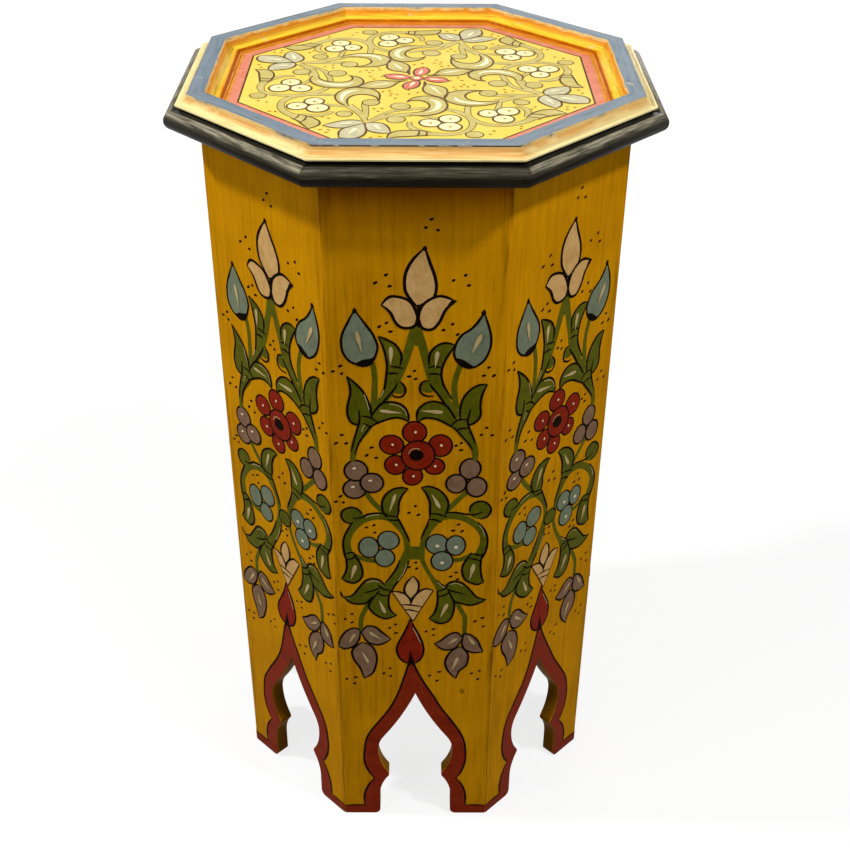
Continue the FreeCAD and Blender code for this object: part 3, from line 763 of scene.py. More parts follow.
dab(boards, "green", 2, 8.4, 434, 4.8, line=0)
mark(boards, 4, (-10.4, 438.9), (-7.2, 434.6), (-6.8, 429.8), (-9.6, 426.4), (-14.2, 426.5), (-16, 428.7))
mark(boards, 4, (8.8, 439.5), (4.7, 437.9), (3.1, 433.1), (4.2, 428.7), (7.9, 426.4), (12.5, 426.6))
mark(boards, 4, (-12, 437.5), (-14.1, 433), (-18.8, 426.5), (-23.4, 419.9), (-27.7, 414.9))
mark(boards, 4, (9.5, 437), (11.1, 433.6), (15.3, 427.7), (20, 420.1), (25.7, 411.3))
pale_edge(boards, (-21.5, 431.9), (-22.6, 428.6), (-24.5, 425.4))
# leaves over the red flower
form(boards, "green", 3, [(-31, 401), (-27, 404), (-20, 407.5), (-14, 409), (-9, 408), (-5.2, 405.5)],
     [(-5.2, 405.5), (-5, 410), (-7, 416.5), (-11, 420.5), (-17, 422), (-23, 420.5), (-27, 415.5),
      (-29.5, 411)])
form(boards, "green", 3, [(28, 399.5), (22, 403.5), (16, 407), (10, 408.6), (5, 408), (1, 404.5)],
     [(1, 404.5), (1, 413), (5, 419), (11, 422), (17, 421), (22, 417.5), (26, 411), (28.5, 407)])
glint(boards, -24.5, 414.8, -9.5, 413, 1.3)
glint(boards, 18.5, 413.6, 4, 414.5, 1.5)
form(boards, "green", 4, [(-30, 409), (-30.5, 414), (-32, 421), (-36, 430), (-42, 437), (-47.3, 442)],
     [(-47.3, 442), (-45, 434), (-44.7, 427), (-46.7, 418), (-47, 411), (-45, 405), (-41.5, 402.8),
      (-38.5, 403)])
form(boards, "green", 4, [(31.5, 407), (31, 416), (33, 424.5), (37, 431), (43, 435.5), (49, 436.3)],
     [(49, 436.3), (46, 429), (45, 421), (45.5, 413), (44, 408), (40, 404.5), (37, 404)])
# arc stems and the berries they carry
stroke(boards, "green", 4, (-31, 409, 4), (-35.5, 400, 4.6), (-40, 392, 3.4), (-43.3, 383.5, 2.4),
       (-44.6, 371, 1.7))
stroke(boards, "green", 4, (30, 409, 4), (34, 398.5, 4.6), (38.5, 390.5, 3.3), (41.6, 382, 2.4),
       (42.4, 373, 1.7))
mark(boards, 6, (-38.8, 414.4), (-38.8, 406.6), (-40.5, 399.9), (-43.4, 389.9), (-45.6, 380))
mark(boards, 6, (38.6, 416.3), (36.9, 408), (37.5, 402.4), (39.8, 394.6), (41.7, 388))
mark(boards, 6, (-27, 404), (-31, 401), (-36, 394), (-40.5, 386), (-42.8, 377))
mark(boards, 6, (24, 402.5), (28.5, 399), (33.5, 392.5), (38, 386), (40, 382))
mark(boards, 6, (-37.5, 409.9), (-31, 408.8), (-25.5, 404.4))
mark(boards, 6, (-35.8, 403.8), (-33, 402), (-30.2, 401))
mark(boards, 6, (24.4, 402.4), (29.5, 407.4), (36.9, 408.2))
mark(boards, 6, (28.7, 399), (32.4, 400.7), (38, 401.3))
pale_edge(boards, (-35, 427.5), (-33.1, 421), (-31.8, 415))
pale_edge(boards, (-17.9, 420.4), (-12.4, 419.2), (-7.9, 415.6), (-6.2, 410.5))
pale_edge(boards, (-37.6, 397), (-36.6, 400.4), (-35, 402.6))
stroke(boards, "green", 0, (-37, 346, 1.9), (-31, 336, 2), (-22, 325, 2.2))
stroke(boards, "green", 0, (38, 346, 1.9), (30, 337, 2), (21, 326, 2.2))
for depth, x, y, across, along in ((2, -44, 347.5, 8, 8), (4, -42.5, 363.5, 8, 8.5), (6, -31.5, 353, 8, 8)):
    dab(boards, "purple", depth, x, y, across, along, line=BERRY_LINE)
    dab(boards, "spark", 9, x - 1.1, y + 2.2, 1.5, 0.85, 15, line=0)
for berry in ((2, 39, 365.5, 7.3, 8.7), (4, 29.5, 352.8, 7, 8), (6, 44, 349.7, 7, 8.3)):
    dab(boards, "purple", *berry, line=BERRY_LINE)
# red flower
for x, y, across, along in ((-1, 396.7, 8.2, 8.7), (-17, 386, 8, 8), (-14.5, 368.7, 7.3, 8),
                            (-2, 358.8, 7, 7.7), (13.5, 367.7, 7, 7), (17.3, 385.5, 8.2, 9)):
    dab(boards, "red", 2, x, y, across, along)
    dab(boards, "spark", 9, x + 0.6, y + 0.4, 0.9, 1, line=0)
dab(boards, "red", 4, 1.6, 377, 11.7, 12.4)
dab(boards, "ink", 6, 0.4, 377, 5.1, 4.7, line=0)
pale_edge(boards, (-5.2, 378.6), (-3.8, 381.8), (-0.6, 383), (2.6, 382.4))
# centre leaves that rise from the tie
stroke(boards, "green", 1, (-5.8, 286, 2.4), (-5.9, 296, 2.2), (-7.4, 304.6, 2.1), (-10.5, 311.6, 2.5),
       (-14.4, 317.5, 3.2), (-18.2, 325, 5))
stroke(boards, "green", 1, (5, 286, 1.9), (5.4, 297, 2.1), (8, 305, 2.2), (11, 312, 2.6),
       (14.6, 318.5, 3.3), (17.2, 326.5, 5.2))
form(boards, "green", 3, [(-13.4, 322.5), (-12.3, 328), (-12, 335), (-9.5, 342), (-5, 347.7)],
     [(-5, 347.7), (-9, 348.9), (-15, 348), (-21, 343.5), (-24.5, 336), (-24, 328), (-21, 322)])
form(boards, "green", 3, [(11, 322), (10.7, 328), (10.5, 335), (8.5, 342), (4.5, 348.7)],
     [(4.5, 348.7), (10, 349.6), (16, 347.5), (21, 342.5), (23.7, 336), (23.5, 330), (21.3, 323.5)])
mark(boards, 4, (-13.4, 323), (-12, 320), (-8.6, 312.1), (-5.7, 304.6), (-4.2, 299.6))
mark(boards, 4, (11, 322.5), (8.6, 314.1), (6.2, 307.8), (4.2, 302))
mark(boards, 4, (-24, 325.5), (-18, 323.6), (-12.5, 323.6))
mark(boards, 4, (-21, 320.4), (-16, 319.8), (-11.5, 319.6))
mark(boards, 4, (10.8, 326), (17, 325), (23.2, 322.6))
mark(boards, 4, (9.6, 320.4), (14.5, 320.2), (19.5, 317.6))
glint(boards, -14.4, 343.5, -19.2, 328, 1.3)
glint(boards, 17.6, 331, 11.6, 343.5, 1.4)
# scroll rings, their curls and tail leaves
stroke(boards, "green", 0, (-12, 314, 2), (-19, 321, 2.8), (-27, 322.8, 2.9), (-36, 320.5, 2.9),
       (-44.5, 313.5, 2.9), (-50, 304, 2.8), (-51, 294, 2.8), (-49, 284, 3))
stroke(boards, "green", 0, (11.5, 314, 2), (19, 321.5, 2.8), (27.5, 323.3, 2.9), (37, 320.5, 2.9),
       (45.5, 313.5, 2.9), (50.3, 305, 2.8), (50.3, 296, 2.8), (46, 285, 3))
dab(boards, "green", 1, -46, 323.5, 7.8, 7.6, line=0)
dab(boards, "green", 1, 47, 328.5, 8.2, 8, line=0)
mark(boards, 3, (-21, 325.8), (-28, 326.2), (-35, 325), (-39.5, 321.6), (-46, 320.8))
mark(boards, 3, (-39, 325), (-42, 329.8), (-47, 331.3), (-52.4, 328.6), (-53.9, 323), (-51.4, 317.6),
     (-46.6, 315.6))
mark(boards, 3, (-46, 317.5), (-49, 312.5), (-52.4, 305), (-53.9, 297), (-53.4, 288), (-52.4, 282))
mark(boards, 3, (21.5, 326), (28, 326.8), (36, 325.4), (43, 324.6), (49, 327))
mark(boards, 3, (39.6, 326.6), (40.6, 333), (46, 336.8), (52, 335), (55.4, 329.4), (53, 323), (47.4, 320.4))
mark(boards, 3, (45.6, 318), (50, 312), (53.2, 305), (53.8, 297), (52, 289), (49.4, 283))
pale_edge(boards, (-36.5, 322), (-32.5, 324), (-26.7, 324.9))
pale_edge(boards, (46.8, 315), (49.8, 310), (51.4, 304.5))
form(boards, "green", 2, [(-53.4, 288), (-52, 281), (-52, 272), (-54, 266), (-55.8, 263.3)],
     [(-55.8, 263.3), (-51, 260), (-46, 259), (-42, 262), (-40, 268), (-41.5, 277), (-45, 284),
      (-46.6, 289)])
form(boards, "green", 2,
     [(42, 289), (39, 284), (36, 278), (35.5, 270), (38, 263), (43, 259.5), (47, 258.5), (51.7, 260.7)],
     [(51.7, 260.7), (50, 266), (49, 273), (49, 281), (50.6, 289)])
mark(boards, 4, (-53.2, 287), (-49.5, 288.4), (-46.4, 288.6))
mark(boards, 4, (-52.6, 281.6), (-47.5, 283), (-44.4, 286.4))
mark(boards, 4, (42, 288.6), (46.5, 287.6), (51.4, 286))
mark(boards, 4, (40, 284.6), (45, 283.2), (49.4, 281.6))
glint(boards, -45.2, 276.5, -48.6, 262.5, 1.6)
glint(boards, 44, 279, 41, 264, 1.7)
stroke(boards, "green", 0, (-47, 286, 2), (-38, 281.5, 2), (-29, 280.5, 1.9))
stroke(boards, "green", 0, (43, 288, 2), (34, 283, 2), (26, 282, 1.9))
for berry in ((2, -20, 300.5, 8, 8.5), (4, -23, 284, 7.5, 8), (6, -35, 293.5, 7.3, 9.4)):
    dab(boards, "blue", *berry)
for depth, x, y, across, along in ((2, 16, 297, 8, 9), (4, 20, 281, 8, 9), (6, 29.8, 296, 7, 8.7)):
    dab(boards, "blue", depth, x, y, across, along)
    dab(boards, "spark", 9, x + 0.2, y - 1.4, 1.5, 1.3, 20, line=0)
# stems and leaves under the tie
stroke(boards, "green", 1, (-6, 291, 2.2), (-8, 282, 3.2), (-10.2, 274, 3.2), (-14.4, 265.5, 3.2),
       (-19.2, 258.4, 3.8), (-23.5, 250, 4.8))
stroke(boards, "green", 1, (5, 291, 1.8), (5.1, 282.7, 1.7), (7.6, 274.7, 1.6), (11.7, 266.2, 1.7),
       (16.3, 258, 2.3), (19.5, 252.5, 3.6), (21.5, 247, 4.6))
mark(boards, 3, (-11.5, 282), (-13.5, 275.2), (-17.4, 267.4), (-22.5, 260.1))
mark(boards, 3, (-4.7, 281.7), (-6.8, 272.7), (-11.4, 263.5), (-15.5, 256.9), (-18.1, 250.2))
mark(boards, 3, (16.2, 262.5), (19.6, 258.3), (23.2, 255.9))
pale_edge(boards, (-6.2, 278), (-8.4, 270.5), (-12.8, 262))
pale_edge(boards, (17, 260.6), (20, 257), (22.6, 255))
pale_edge(boards, (-37, 259.4), (-32, 261.6), (-27, 260.4))
pale_edge(boards, (26.6, 258), (31, 259.8), (36, 257.4))
form(boards, "green", 2,
     [(-23, 257), (-27, 262), (-33, 263.5), (-38, 261), (-43, 254), (-48, 247), (-54.5, 245.3)],
     [(-54.5, 245.3), (-50, 240), (-44, 238.5), (-38, 239.5), (-34, 244), (-28, 249)])
form(boards, "green", 2,
     [(22, 255), (26, 259.8), (31, 261.5), (36, 259.5), (42, 252), (47, 245.5), (54, 243.3)],
     [(54, 243.3), (49, 240), (42, 237.5), (35, 239), (30, 241), (25.5, 247)])
mark(boards, 4, (-54.5, 244.6), (-56.2, 247.4), (-56.8, 251))
mark(boards, 4, (-25, 256), (-31, 252.5), (-39, 249.5))
mark(boards, 4, (23.5, 254), (29, 251), (37, 248.5))
form(boards, "green", 4,
     [(-27.5, 252), (-34, 242), (-36, 236), (-33, 230), (-28, 225.5), (-22, 223.7), (-14.5, 226.8)],
     [(-14.5, 226.8), (-19, 232), (-20.5, 239), (-20.3, 246), (-18.6, 253)])
form(boards, "green", 4, [(16.6, 252), (17.3, 245), (17, 238), (15, 230), (10.7, 224)],
     [(10.7, 224), (16, 220), (21, 219), (26, 222), (29, 230), (29.5, 239), (27, 247), (24.5, 253)])
mark(boards, 6, (-28, 257.5), (-24, 253.6), (-18.4, 252.6))
mark(boards, 6, (-30, 250.6), (-25.5, 247.6), (-19.8, 247.2))
mark(boards, 6, (16.8, 251.2), (21, 252.6), (25, 257))
mark(boards, 6, (17.2, 245.6), (22.5, 247.2), (27.2, 251.2))
glint(boards, -23.2, 229.6, -28, 242.5, 1.5)
glint(boards, 24.6, 238.5, 19, 225, 1.5)
# lotus
form(boards, "cream", 2, [(-4, 243), (-7.6, 249), (-8.3, 254), (-6, 260.5), (-1.5, 266)],
     [(-1.5, 266), (1.8, 261), (2.6, 256), (1.5, 250), (-4, 243)])
form(boards, "cream", 4, [(-3.6, 238), (-4.2, 243), (-7.4, 248), (-12, 250.8), (-17.8, 251.3)],
     [(-17.8, 251.3), (-2, 220.5)], [(-2, 220.5), (13.8, 251.8)],
     [(13.8, 251.8), (8, 253.4), (2.5, 250), (-1.4, 245), (-3.6, 238)])
mark(boards, 6, (-10.9, 238), (-4, 237.4), (5.2, 235.4))
mark(boards, 6, (-8, 232.6), (-4, 232.2), (2.6, 230.2))
# red spear head over the spire
form(boards, "red", 1,
     [(-4.5, 223), (-7, 214), (-11, 204), (-14.3, 195.5), (-14.9, 189), (-12.6, 182), (-9, 178),
      (-6.4, 176.6)],
     [(-1.6, 176.6), (1.4, 178), (4.8, 182), (6.8, 189), (6.2, 197), (3, 206), (-1, 214), (-4.5, 223)])
pale_edge(boards, (-2.2, 214), (1.4, 206), (4.4, 198.6))
# purple leaf clusters on their drooping stems
stroke(boards, "green", 0, (-35, 242, 1.8), (-40, 230, 1.9), (-42, 222, 1.9), (-42, 208, 1.8))
stroke(boards, "green", 0, (30, 242, 1.8), (36, 230, 1.9), (38.5, 222, 1.9), (38.5, 202, 1.8))
form(boards, "purple", 2,
     [(-41.4, 198.5), (-46.5, 194), (-49.5, 188.7), (-47.9, 180), (-43.6, 171.3), (-40.7, 160)],
     [(-40.7, 160), (-33.9, 166.2), (-30.6, 178.5), (-31.2, 187.2), (-34.4, 194.5), (-41.4, 198.5)])
form(boards, "purple", 4, [(-42.5, 211), (-47, 214), (-53, 211), (-58, 203), (-59.8, 194.5)],
     [(-59.8, 194.5), (-55, 192), (-48, 194.5), (-43.5, 202), (-42.5, 211)])
form(boards, "purple", 4, [(-41.5, 209), (-37.5, 215.6), (-31, 214.5), (-26, 209), (-19.3, 202)],
     [(-19.3, 202), (-25, 197.5), (-31, 196), (-37.5, 199.5), (-41.5, 209)])
form(boards, "purple", 2, [(35.3, 194.5), (27.7, 188.7), (23.9, 178.5), (26.1, 168.4), (32, 160)],
     [(32, 160), (34.7, 168.4), (40.1, 174.2), (41.9, 184.3), (39, 191.6), (35.3, 194.5)])
form(boards, "purple", 4, [(37.6, 204), (33, 209.6), (27, 208), (20, 201), (15.5, 198)],
     [(15.5, 198), (20, 193), (25, 191), (32, 193.5), (37.6, 204)])
form(boards, "purple", 4,
     [(37.6, 202), (38.5, 208.2), (43.4, 207.5), (48.8, 201.7), (51.5, 194.5), (53.8, 189)],
     [(53.8, 189), (46.6, 188), (40, 190.9), (37.2, 196.5), (37.6, 202)])
glint(boards, -46.5, 208, -51.8, 197.5, 1.3)
glint(boards, -35.5, 209.5, -26.8, 201.8, 1.3)
glint(boards, -37.1, 177, -42, 189.5, 1.3)
glint(boards, 33, 204, 25.5, 197.5, 1.2)
glint(boards, 46.8, 197, 41.6, 206, 1.4)
glint(boards, 33.6, 183, 29, 170, 1.4)
# dark dots in threes over the whole ground
DOTS = ((9.7, 559), (6, 553), (13.7, 551), (-19.3, 519.5), (-26.5, 513.8), (-17, 511.5), (32, 518.8),
        (24.5, 515.3), (34.6, 511.6), (-24, 480.5), (-16.5, 477), (-19.3, 483.5), (25, 483), (18.7, 478.5),
        (28, 475), (-51.5, 450), (-56.5, 445.7), (-50.7, 444), (49.7, 449.5), (46.3, 443), (53.3, 443),
        (-4, 442.5), (0.3, 440.5), (-0.5, 447), (-52, 394.3), (-56, 387.5), (-49, 387), (49.7, 401),
        (46, 395), (53.5, 394.5), (-31, 383.3), (-34.5, 376.7), (-27.8, 374.7), (32, 387.8), (28.3, 385.4),
        (32, 381.6), (-54, 341.2), (-57.3, 336.3), (-52, 335.7), (0.2, 332.7), (-4.5, 326.7), (2.5, 324.7),
        (-31, 314.5), (-36.5, 312), (-30.3, 307.5), (31.7, 315.3), (27.7, 309.5), (34.2, 309), (0.3, 279.5),
        (-4.3, 275), (1, 273.5), (31, 270.3), (27, 266), (32, 263.5), (-49, 228.7), (-54.3, 223.5),
        (-49, 220), (52, 224.8), (46.3, 221.3), (53, 216), (-15.7, 217.3), (-20.3, 213.7), (-15.5, 208.3),
        (14, 213), (8.5, 210.5), (14.5, 207), (-54.7, 159.2), (-47.5, 161), (-48.7, 154.5), (-25.2, 165.9),
        (-20.1, 171.3), (-19.6, 163), (11.9, 163.2), (19.3, 167.2), (17.4, 157.5), (44.7, 165.4),
        (51.1, 168.4), (49.7, 159.5))
for number, (x, y) in enumerate(DOTS):
    across = 1.5 + 0.25 * math.sin(number * 5.1)
    tilt = 25 + 18 * math.sin(number * 2.3)
    dab(boards, "ink", 1, x, y, across, 0.95, tilt, line=0)

board_paints = {}
for name, layer in boards.items():
    title, *shades = BOARD_PAINTS[name]
    board_paints[name] = board_paint(title, shades, shine=0.006 if name == "ink" else 0.03)
    lay(f"panel_{name}", layer, board_paints[name], {**ROUND_THE_BOARDS, "Wander": WANDER, "Lean": LEAN})

# Ties: where the stems cross, a small square of leaf green is painted over them on the front board, and an
# oval knot with a dark outline on the others.
square_tie = Layer()
square_tie.fill([(-5.6, 282.4), (5, 282.4), (5, 295), (-5.6, 295)], 3 * FILM)
lay("square_tie", square_tie, board_paints["green"],
    {**ROUND_THE_BOARDS, "Copies": 1, "Wander": WANDER, "Lean": 0.0})
knots = {"green": Layer(), "ink": Layer()}
dab(knots, "green", 4, 0, 290, 6.6, 6.8)
for name, layer in knots.items():
    lay(f"oval_knots_{name}", layer, board_paints[name],
        {**ROUND_THE_BOARDS, "Copies": 7, "First turn": math.radians(45), "Wander": WANDER, "Lean": LEAN})

# Top rings: a band of rose-red paint brushed round the edge of the top board against the foot of the rim.
# A thin dark line is drawn inside it, and a line of orange in the joint with the rim is painted shade.
RING_SLOPE = math.tan(math.radians(22.5))
RING_WANDER = 0.0008
RINGS = (
    ("rose_band", 121.2, 127.9, ((200, 106, 82), (215, 131, 103), (223, 153, 125))),
    ("orange_shade_line", 127.8, 129.9, ((190, 108, 20), (214, 140, 34), (230, 168, 60))),
    ("dark_line", 120.0, 121.3, ((56, 34, 14), (78, 50, 22), (110, 74, 36))))
for name, inner, outer, shades in RINGS:
    ring = Layer()
    ring.fill([(-inner * RING_SLOPE, -inner), (-outer * RING_SLOPE, -outer), (outer * RING_SLOPE, -outer),
               (inner * RING_SLOPE, -inner)], FILM)
    ring_paint = pattern_paint(f"{name}_paint", shades, stretch=(160, 160, 160), gloss=(0.4, 0.6))
    lay(f"top_{name}", ring, ring_paint, {
        "Copies": 8, "First turn": 0.0, "Turn": math.radians(45), "Stand": 0.0, "Place": (0, 0, TOP_FACE),
        "Wander": RING_WANDER, "Lean": 0.0})

# Top ornament: four scrolls turned round a small rose, painted on the top board in khaki, grey and cream.
# Each has two curling leaves, a three-petalled flower at the edge and berries between, lined in brown.
ROUND_THE_TOP = {"Copies": 4, "First turn": math.radians(-21), "Turn": math.radians(90), "Stand": 0.0,
                 "Place": (0, 0, TOP_FACE)}
TOP_BRUSH = 0.72
STEM_LINE = 0.6
TOP_BERRY_LINE = 0.95
TOP_PAINTS = {
    "khaki": ("khaki_scroll_paint", (178, 162, 84), (198, 181, 106), (214, 200, 132)),
    "petal": ("pale_grey_petal_paint", (176, 168, 128), (198, 190, 150), (214, 206, 172)),
    "berry": ("cream_berry_paint", (230, 212, 140), (242, 230, 172), (246, 238, 204)),
    "pink": ("rose_petal_paint", (206, 92, 76), (222, 120, 100), (232, 150, 128)),
    "dots": ("orange_brown_dot_paint", (150, 88, 10), (174, 108, 16), (192, 128, 30)),
    "ink": ("brown_line_paint", (66, 44, 14), (92, 66, 26), (122, 92, 44)),
    "glint": ("ivory_highlight_paint", (234, 222, 168), (244, 234, 190), (248, 242, 214))}
top = {name: Layer(TOP_BRUSH) for name in TOP_PAINTS}
# stems from the flower and the curls they end in
stroke(top, "khaki", 0, (-1, -91, 1.4), (-7, -81.5, 2.2), (-14.5, -74.5, 2.4), (-24, -67.5, 3),
       line=STEM_LINE)
stroke(top, "khaki", 0, (-3, -85, 1.1), (-8, -73, 1.8), (-13, -63, 2), (-15, -57.5, 1.4), line=STEM_LINE)
stroke(top, "khaki", 0, (1.5, -91, 1.8), (6, -82, 2.8), (13, -75.5, 3), (22.5, -69, 3.2), line=STEM_LINE)
stroke(top, "khaki", 0, (3, -83, 1.1), (8, -69, 1.5), (17, -61, 1.7), (28, -54, 1.5), line=STEM_LINE)
for x, y, half in ((-11, -57, 6), (-19, -83.5, 5.4), (10.5, -57, 6.4), (17, -81.5, 6.2)):
    dab(top, "khaki", 1, x, y, half, line=STEM_LINE)
# curling leaves
form(top, "khaki", 2,
     [(-24, -69.5), (-31, -66), (-37, -59), (-39.8, -50), (-38.5, -40.5), (-33.5, -34), (-26, -31.5),
      (-18.5, -33), (-12.5, -38.5), (-9, -46), (-6.5, -53.5)],
     [(-6.5, -53.5), (-11, -47), (-17, -44), (-23, -44.5), (-27.5, -48.5), (-28.8, -55), (-27, -62),
      (-22.5, -69)])
form(top, "khaki", 2,
     [(22, -70.5), (30, -69), (37, -63), (40.5, -54), (39.5, -44.5), (35, -36.5), (28.5, -31.5),
      (21, -31.5), (15, -35.5), (12, -41), (11.5, -48)],
     [(11.5, -48), (14, -43.5), (19.5, -41.5), (25, -44), (28.5, -49.5), (29, -56), (26.5, -62.5),
      (21, -67)])
stroke(top, "glint", 5, (-27, -39, 0.3), (-32.5, -42.5, 1.6), (-34.4, -50, 1.9), (-32.6, -58, 1.2),
       (-29, -64, 0.2))
stroke(top, "glint", 5, (24, -37.6, 0.3), (30.5, -40.5, 1.6), (34.4, -48, 1.9), (34, -56.5, 1.2),
       (30, -63.5, 0.2))
# leaf and petal at the middle
form(top, "khaki", 2, [(9, -8), (11.5, -14), (13, -20), (17, -26), (23, -29), (33.5, -31.5)],
     [(33.5, -31.5), (31.5, -22), (27.5, -13), (22, -9.5), (15.5, -9), (9, -8)])
glint(top, 17, -14, 28, -25, 1.2, 5)
mark(top, 4, (7.5, -4, 0.3), (10, -8.5, 1.2), (12.5, -13, 0.3))
form(top, "pink", 2, [(0, -5), (-3.2, -12), (-2.5, -19), (2, -24.5)],
     [(2, -24.5), (7, -19.5), (7.5, -13), (4.5, -6), (0, -5)])
glint(top, 1.5, -9, 3, -19, 1.4, 5)
# three-petalled flower
form(top, "petal", 2, [(0, -94), (-6, -92), (-12, -93.5), (-17.5, -99), (-23.5, -109)],
     [(-23.5, -109), (-15, -110), (-7.5, -107), (-1.5, -101.5), (0, -94)])
form(top, "petal", 2, [(1, -94), (6, -91.5), (12.5, -92), (18, -96.5), (23.5, -105)],
     [(23.5, -105), (16, -108), (8.5, -107), (3.5, -102), (1, -94)])
form(top, "petal", 4, [(0, -96), (-5, -103), (-9, -111), (-8.5, -118), (-5, -126)],
     [(-5, -126), (2, -125), (7, -120), (7.8, -112), (5, -104), (0, -96)])
glint(top, -7, -98, -16, -105, 1.3, 7)
glint(top, 8, -96.5, 16, -103.5, 1.3, 7)
glint(top, -1, -106, -1.5, -119, 1.5, 7)
# scrolls between the flowers, their end leaves and berries
stroke(top, "khaki", 0, (39, -51, 1.5), (47, -51.5, 1.9), (55.5, -56, 2), (62.5, -63, 2), (66.5, -72, 2),
       (67, -81, 1.9), (65, -89, 1.7), line=STEM_LINE)
stroke(top, "khaki", 0, (27, -82, 1.1), (30, -89, 1.7), (37, -94, 2.1), (46, -96.5, 2.5), (56, -95, 2.3),
       (65, -89, 1.7), line=STEM_LINE)
form(top, "khaki", 2, [(47, -95), (40, -94.5), (32, -96.5), (25.5, -101), (23, -107), (25, -115)],
     [(25, -115), (30, -110), (37, -106), (44, -102), (48, -100)])
mark(top, 4, (38.5, -95), (40.5, -99.5), (41, -104.5))
mark(top, 4, (43.5, -94.6), (45.5, -99), (45.5, -102))
stroke(top, "khaki", 0, (-39, -52.5, 1.5), (-48, -55, 1.9), (-57, -59, 2), (-64, -66, 2.1),
       (-67.5, -75, 2.1), (-66, -84, 2.1), (-61, -91.5, 2.2), (-54, -97, 2.5), (-45, -100.5, 2.8),
       line=STEM_LINE)
stroke(top, "khaki", 0, (-28, -82, 1.1), (-29.5, -88, 1.6), (-35, -93.5, 1.9), (-45, -96, 1.9),
       line=STEM_LINE)
form(top, "khaki", 2, [(-47, -96), (-40, -97), (-33.5, -99), (-28, -103), (-26, -109.5), (-29.5, -118)],
     [(-29.5, -118), (-36, -112), (-41.5, -107), (-48, -104)])
mark(top, 4, (-45.5, -96.4), (-44.5, -101), (-45, -105.4))
mark(top, 4, (-40, -97), (-38, -103), (-38.5, -109.4))
stroke(top, "khaki", 0, (-22, -69.5, 1.3), (-31, -71.5, 1.5), (-41, -73.5, 1.4), line=STEM_LINE)
stroke(top, "khaki", 0, (27, -67.5, 1.3), (36, -69, 1.5), (43, -70, 1.4), line=STEM_LINE)
dab(top, "khaki", 1, 73.5, -88, 5.6, line=STEM_LINE)
for depth, x, y, half in ((2, 49, -67, 7.2), (2, 40, -79, 6.8), (4, 54, -81, 7.4), (2, -48, -70, 6.6),
                          (2, -54.5, -82.5, 6.8), (4, -40, -81, 7.4)):
    dab(top, "berry", depth, x, y, half, line=TOP_BERRY_LINE)
    dab(top, "dots", 7, x + 0.4, y - 0.6, 1.0, 0.9, line=0)
# dots over the ground
TOP_DOTS = ((0, -36), (-3.5, -40), (1.5, -43), (-4.5, -67.5), (0.5, -65), (0, -71.5), (19, -113),
            (14, -117), (-17, -114.5), (-22, -116), (-16.5, -119.5), (83, -77), (82.5, -83.5),
            (-24.5, -4.5), (-27.5, -12), (-32, -7.5), (31, -7.5), (35.5, -4.5), (34, -11.5), (-67, -98),
            (-63, -97), (-52, -64), (55, -66), (-30, -94), (-25, -95))
for number, (x, y) in enumerate(TOP_DOTS):
    dab(top, "dots", 0, x, y, 1.4, 0.95, 40 * math.sin(number * 2.1), line=0)

top_paints = {}
for name, layer in top.items():
    title, *shades = TOP_PAINTS[name]
    top_paints[name] = pattern_paint(title, shades, stretch=(170, 260, 170))
    lay(f"top_{name}", layer, top_paints[name], {**ROUND_THE_TOP, "Wander": WANDER, "Lean": 0.0})
# the eye of the rose, once in the middle
rose_eye = {name: Layer() for name in ("pink", "berry", "ink")}
dab(rose_eye, "pink", 5, 0, 0, 4.6, line=0.6)
dab(rose_eye, "berry", 7, 0, 0, 2.4, line=0)
for name, layer in rose_eye.items():
    lay(f"rose_eye_{name}", layer, top_paints[name],
        {**ROUND_THE_TOP, "Copies": 1, "Wander": 0.0, "Lean": 0.0})

# Floor, light and camera: a white studio sweep that keeps the table's shadow, seen from above the front
# board. Two small lamps high up draw the shade under the top, two broad ones in front fill it, and one
# behind lights the back.
FLOOR_HALF = 9
FLOOR_GREY = (0.25, 0.25, 0.25, 1)
WHITE = (1, 1, 1, 1)
GLOW_NEAR = (0.6, 0.8)
GLOW_FAR = (2, 1)
AMBIENT = 0.065
AIM = (0, -0.1, 0.45)
BACK_AIM = (0, 0, 0.35)
SMALL = 0.15
BROAD = 1.0
SENSOR = 36
LENS = 55.13
CAMERA_PLACE = (0.002692, -0.90316, 0.90285)
PAN = 0.0051
TILT = 0.5837
ROLL = 0.006


def seen_directly(tree):
    """One where the camera, a reflection or a clear material sees a surface, and nought for its light."""
    rays = add(tree, "ShaderNodeLightPath").outputs
    seen = sum_of(tree, "MAXIMUM", rays["Is Camera Ray"], rays["Is Glossy Ray"])
    return sum_of(tree, "MAXIMUM", seen, rays["Is Transmission Ray"])


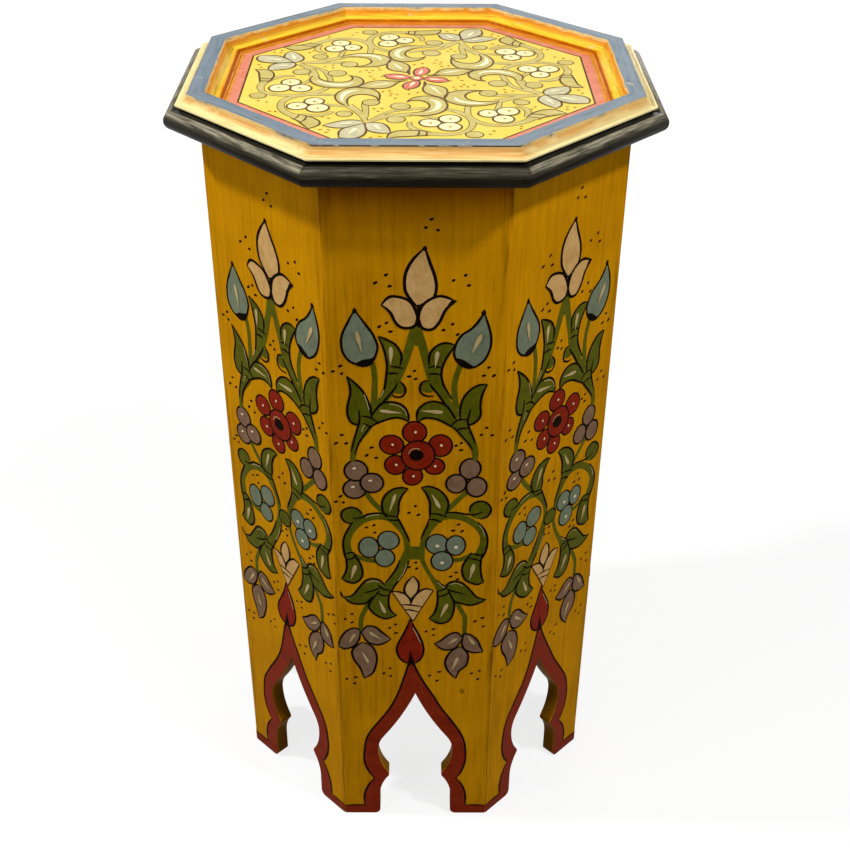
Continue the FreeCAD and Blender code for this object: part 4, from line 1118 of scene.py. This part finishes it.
floor_mesh = bpy.data.meshes.new("floor")
corners = [(FLOOR_HALF * x, FLOOR_HALF * y, 0) for x, y in ((-1, -1), (1, -1), (1, 1), (-1, 1))]
floor_mesh.from_pydata(corners, [], [(0, 1, 2, 3)])
floor = bpy.data.objects.new("floor", floor_mesh)
scene.collection.objects.link(floor)
sweep = bpy.data.materials.new("white_sweep")
sweep.use_nodes = True
tree = sweep.node_tree
tree.nodes.clear()
matt = add(tree, "ShaderNodeBsdfDiffuse", inputs={"Color": FLOOR_GREY}).outputs[0]
away = distance(tree, add(tree, "ShaderNodeTexCoord").outputs["Object"])
strength = span(tree, away, GLOW_NEAR[0], GLOW_FAR[0], GLOW_NEAR[1], GLOW_FAR[1])
glow = add(tree, "ShaderNodeEmission", inputs={"Color": WHITE, "Strength": strength}).outputs[0]
lit = add(tree, "ShaderNodeAddShader", inputs={0: matt, 1: glow}).outputs[0]
shown = add(tree, "ShaderNodeMixShader", inputs={0: seen_directly(tree), 1: matt, 2: lit}).outputs[0]
add(tree, "ShaderNodeOutputMaterial", inputs={"Surface": shown})
floor_mesh.materials.append(sweep)

world = bpy.data.worlds.new("studio")
scene.world = world
world.use_nodes = True
tree = world.node_tree
tree.nodes.clear()
level = mixed(tree, seen_directly(tree), AMBIENT, 1.0)
sky = add(tree, "ShaderNodeBackground", inputs={"Color": WHITE, "Strength": level}).outputs[0]
add(tree, "ShaderNodeOutputWorld", inputs={"Surface": sky})


def lamp(name, place, aim, size, power):
    """A square soft box at a place, turned to face a point."""
    light = bpy.data.lights.new(name, "AREA")
    light.size = size
    light.energy = power
    box = bpy.data.objects.new(name, light)
    box.location = place
    box.rotation_euler = (Vector(aim) - Vector(place)).to_track_quat("-Z", "Y").to_euler()
    scene.collection.objects.link(box)


lamp("left_lamp", (-1.24, -0.06, 1.96), AIM, SMALL, 27)
lamp("right_lamp", (0.976, -0.71, 2.008), AIM, SMALL, 19)
lamp("left_fill", (-1.1, -0.95, 1.15), AIM, BROAD, 6.8)
lamp("right_fill", (1.1, -0.95, 1.15), AIM, BROAD, 4.8)
lamp("back_fill", (0.3, 1.6, 0.9), BACK_AIM, BROAD, 7)

camera_data = bpy.data.cameras.new("camera")
camera_data.sensor_width = SENSOR
camera_data.lens = LENS
camera = bpy.data.objects.new("camera", camera_data)
ahead = Vector((math.sin(PAN) * math.cos(TILT), math.cos(PAN) * math.cos(TILT), -math.sin(TILT)))
level_right = Vector((math.cos(PAN), -math.sin(PAN), 0))
level_up = level_right.cross(ahead)
right = math.cos(ROLL) * level_right + math.sin(ROLL) * level_up
up = math.cos(ROLL) * level_up - math.sin(ROLL) * level_right
turn = Matrix((right, up, -ahead)).transposed().to_4x4()
camera.matrix_world = Matrix.Translation(CAMERA_PLACE) @ turn
scene.collection.objects.link(camera)
scene.camera = camera
scene.view_settings.view_transform = "Standard"
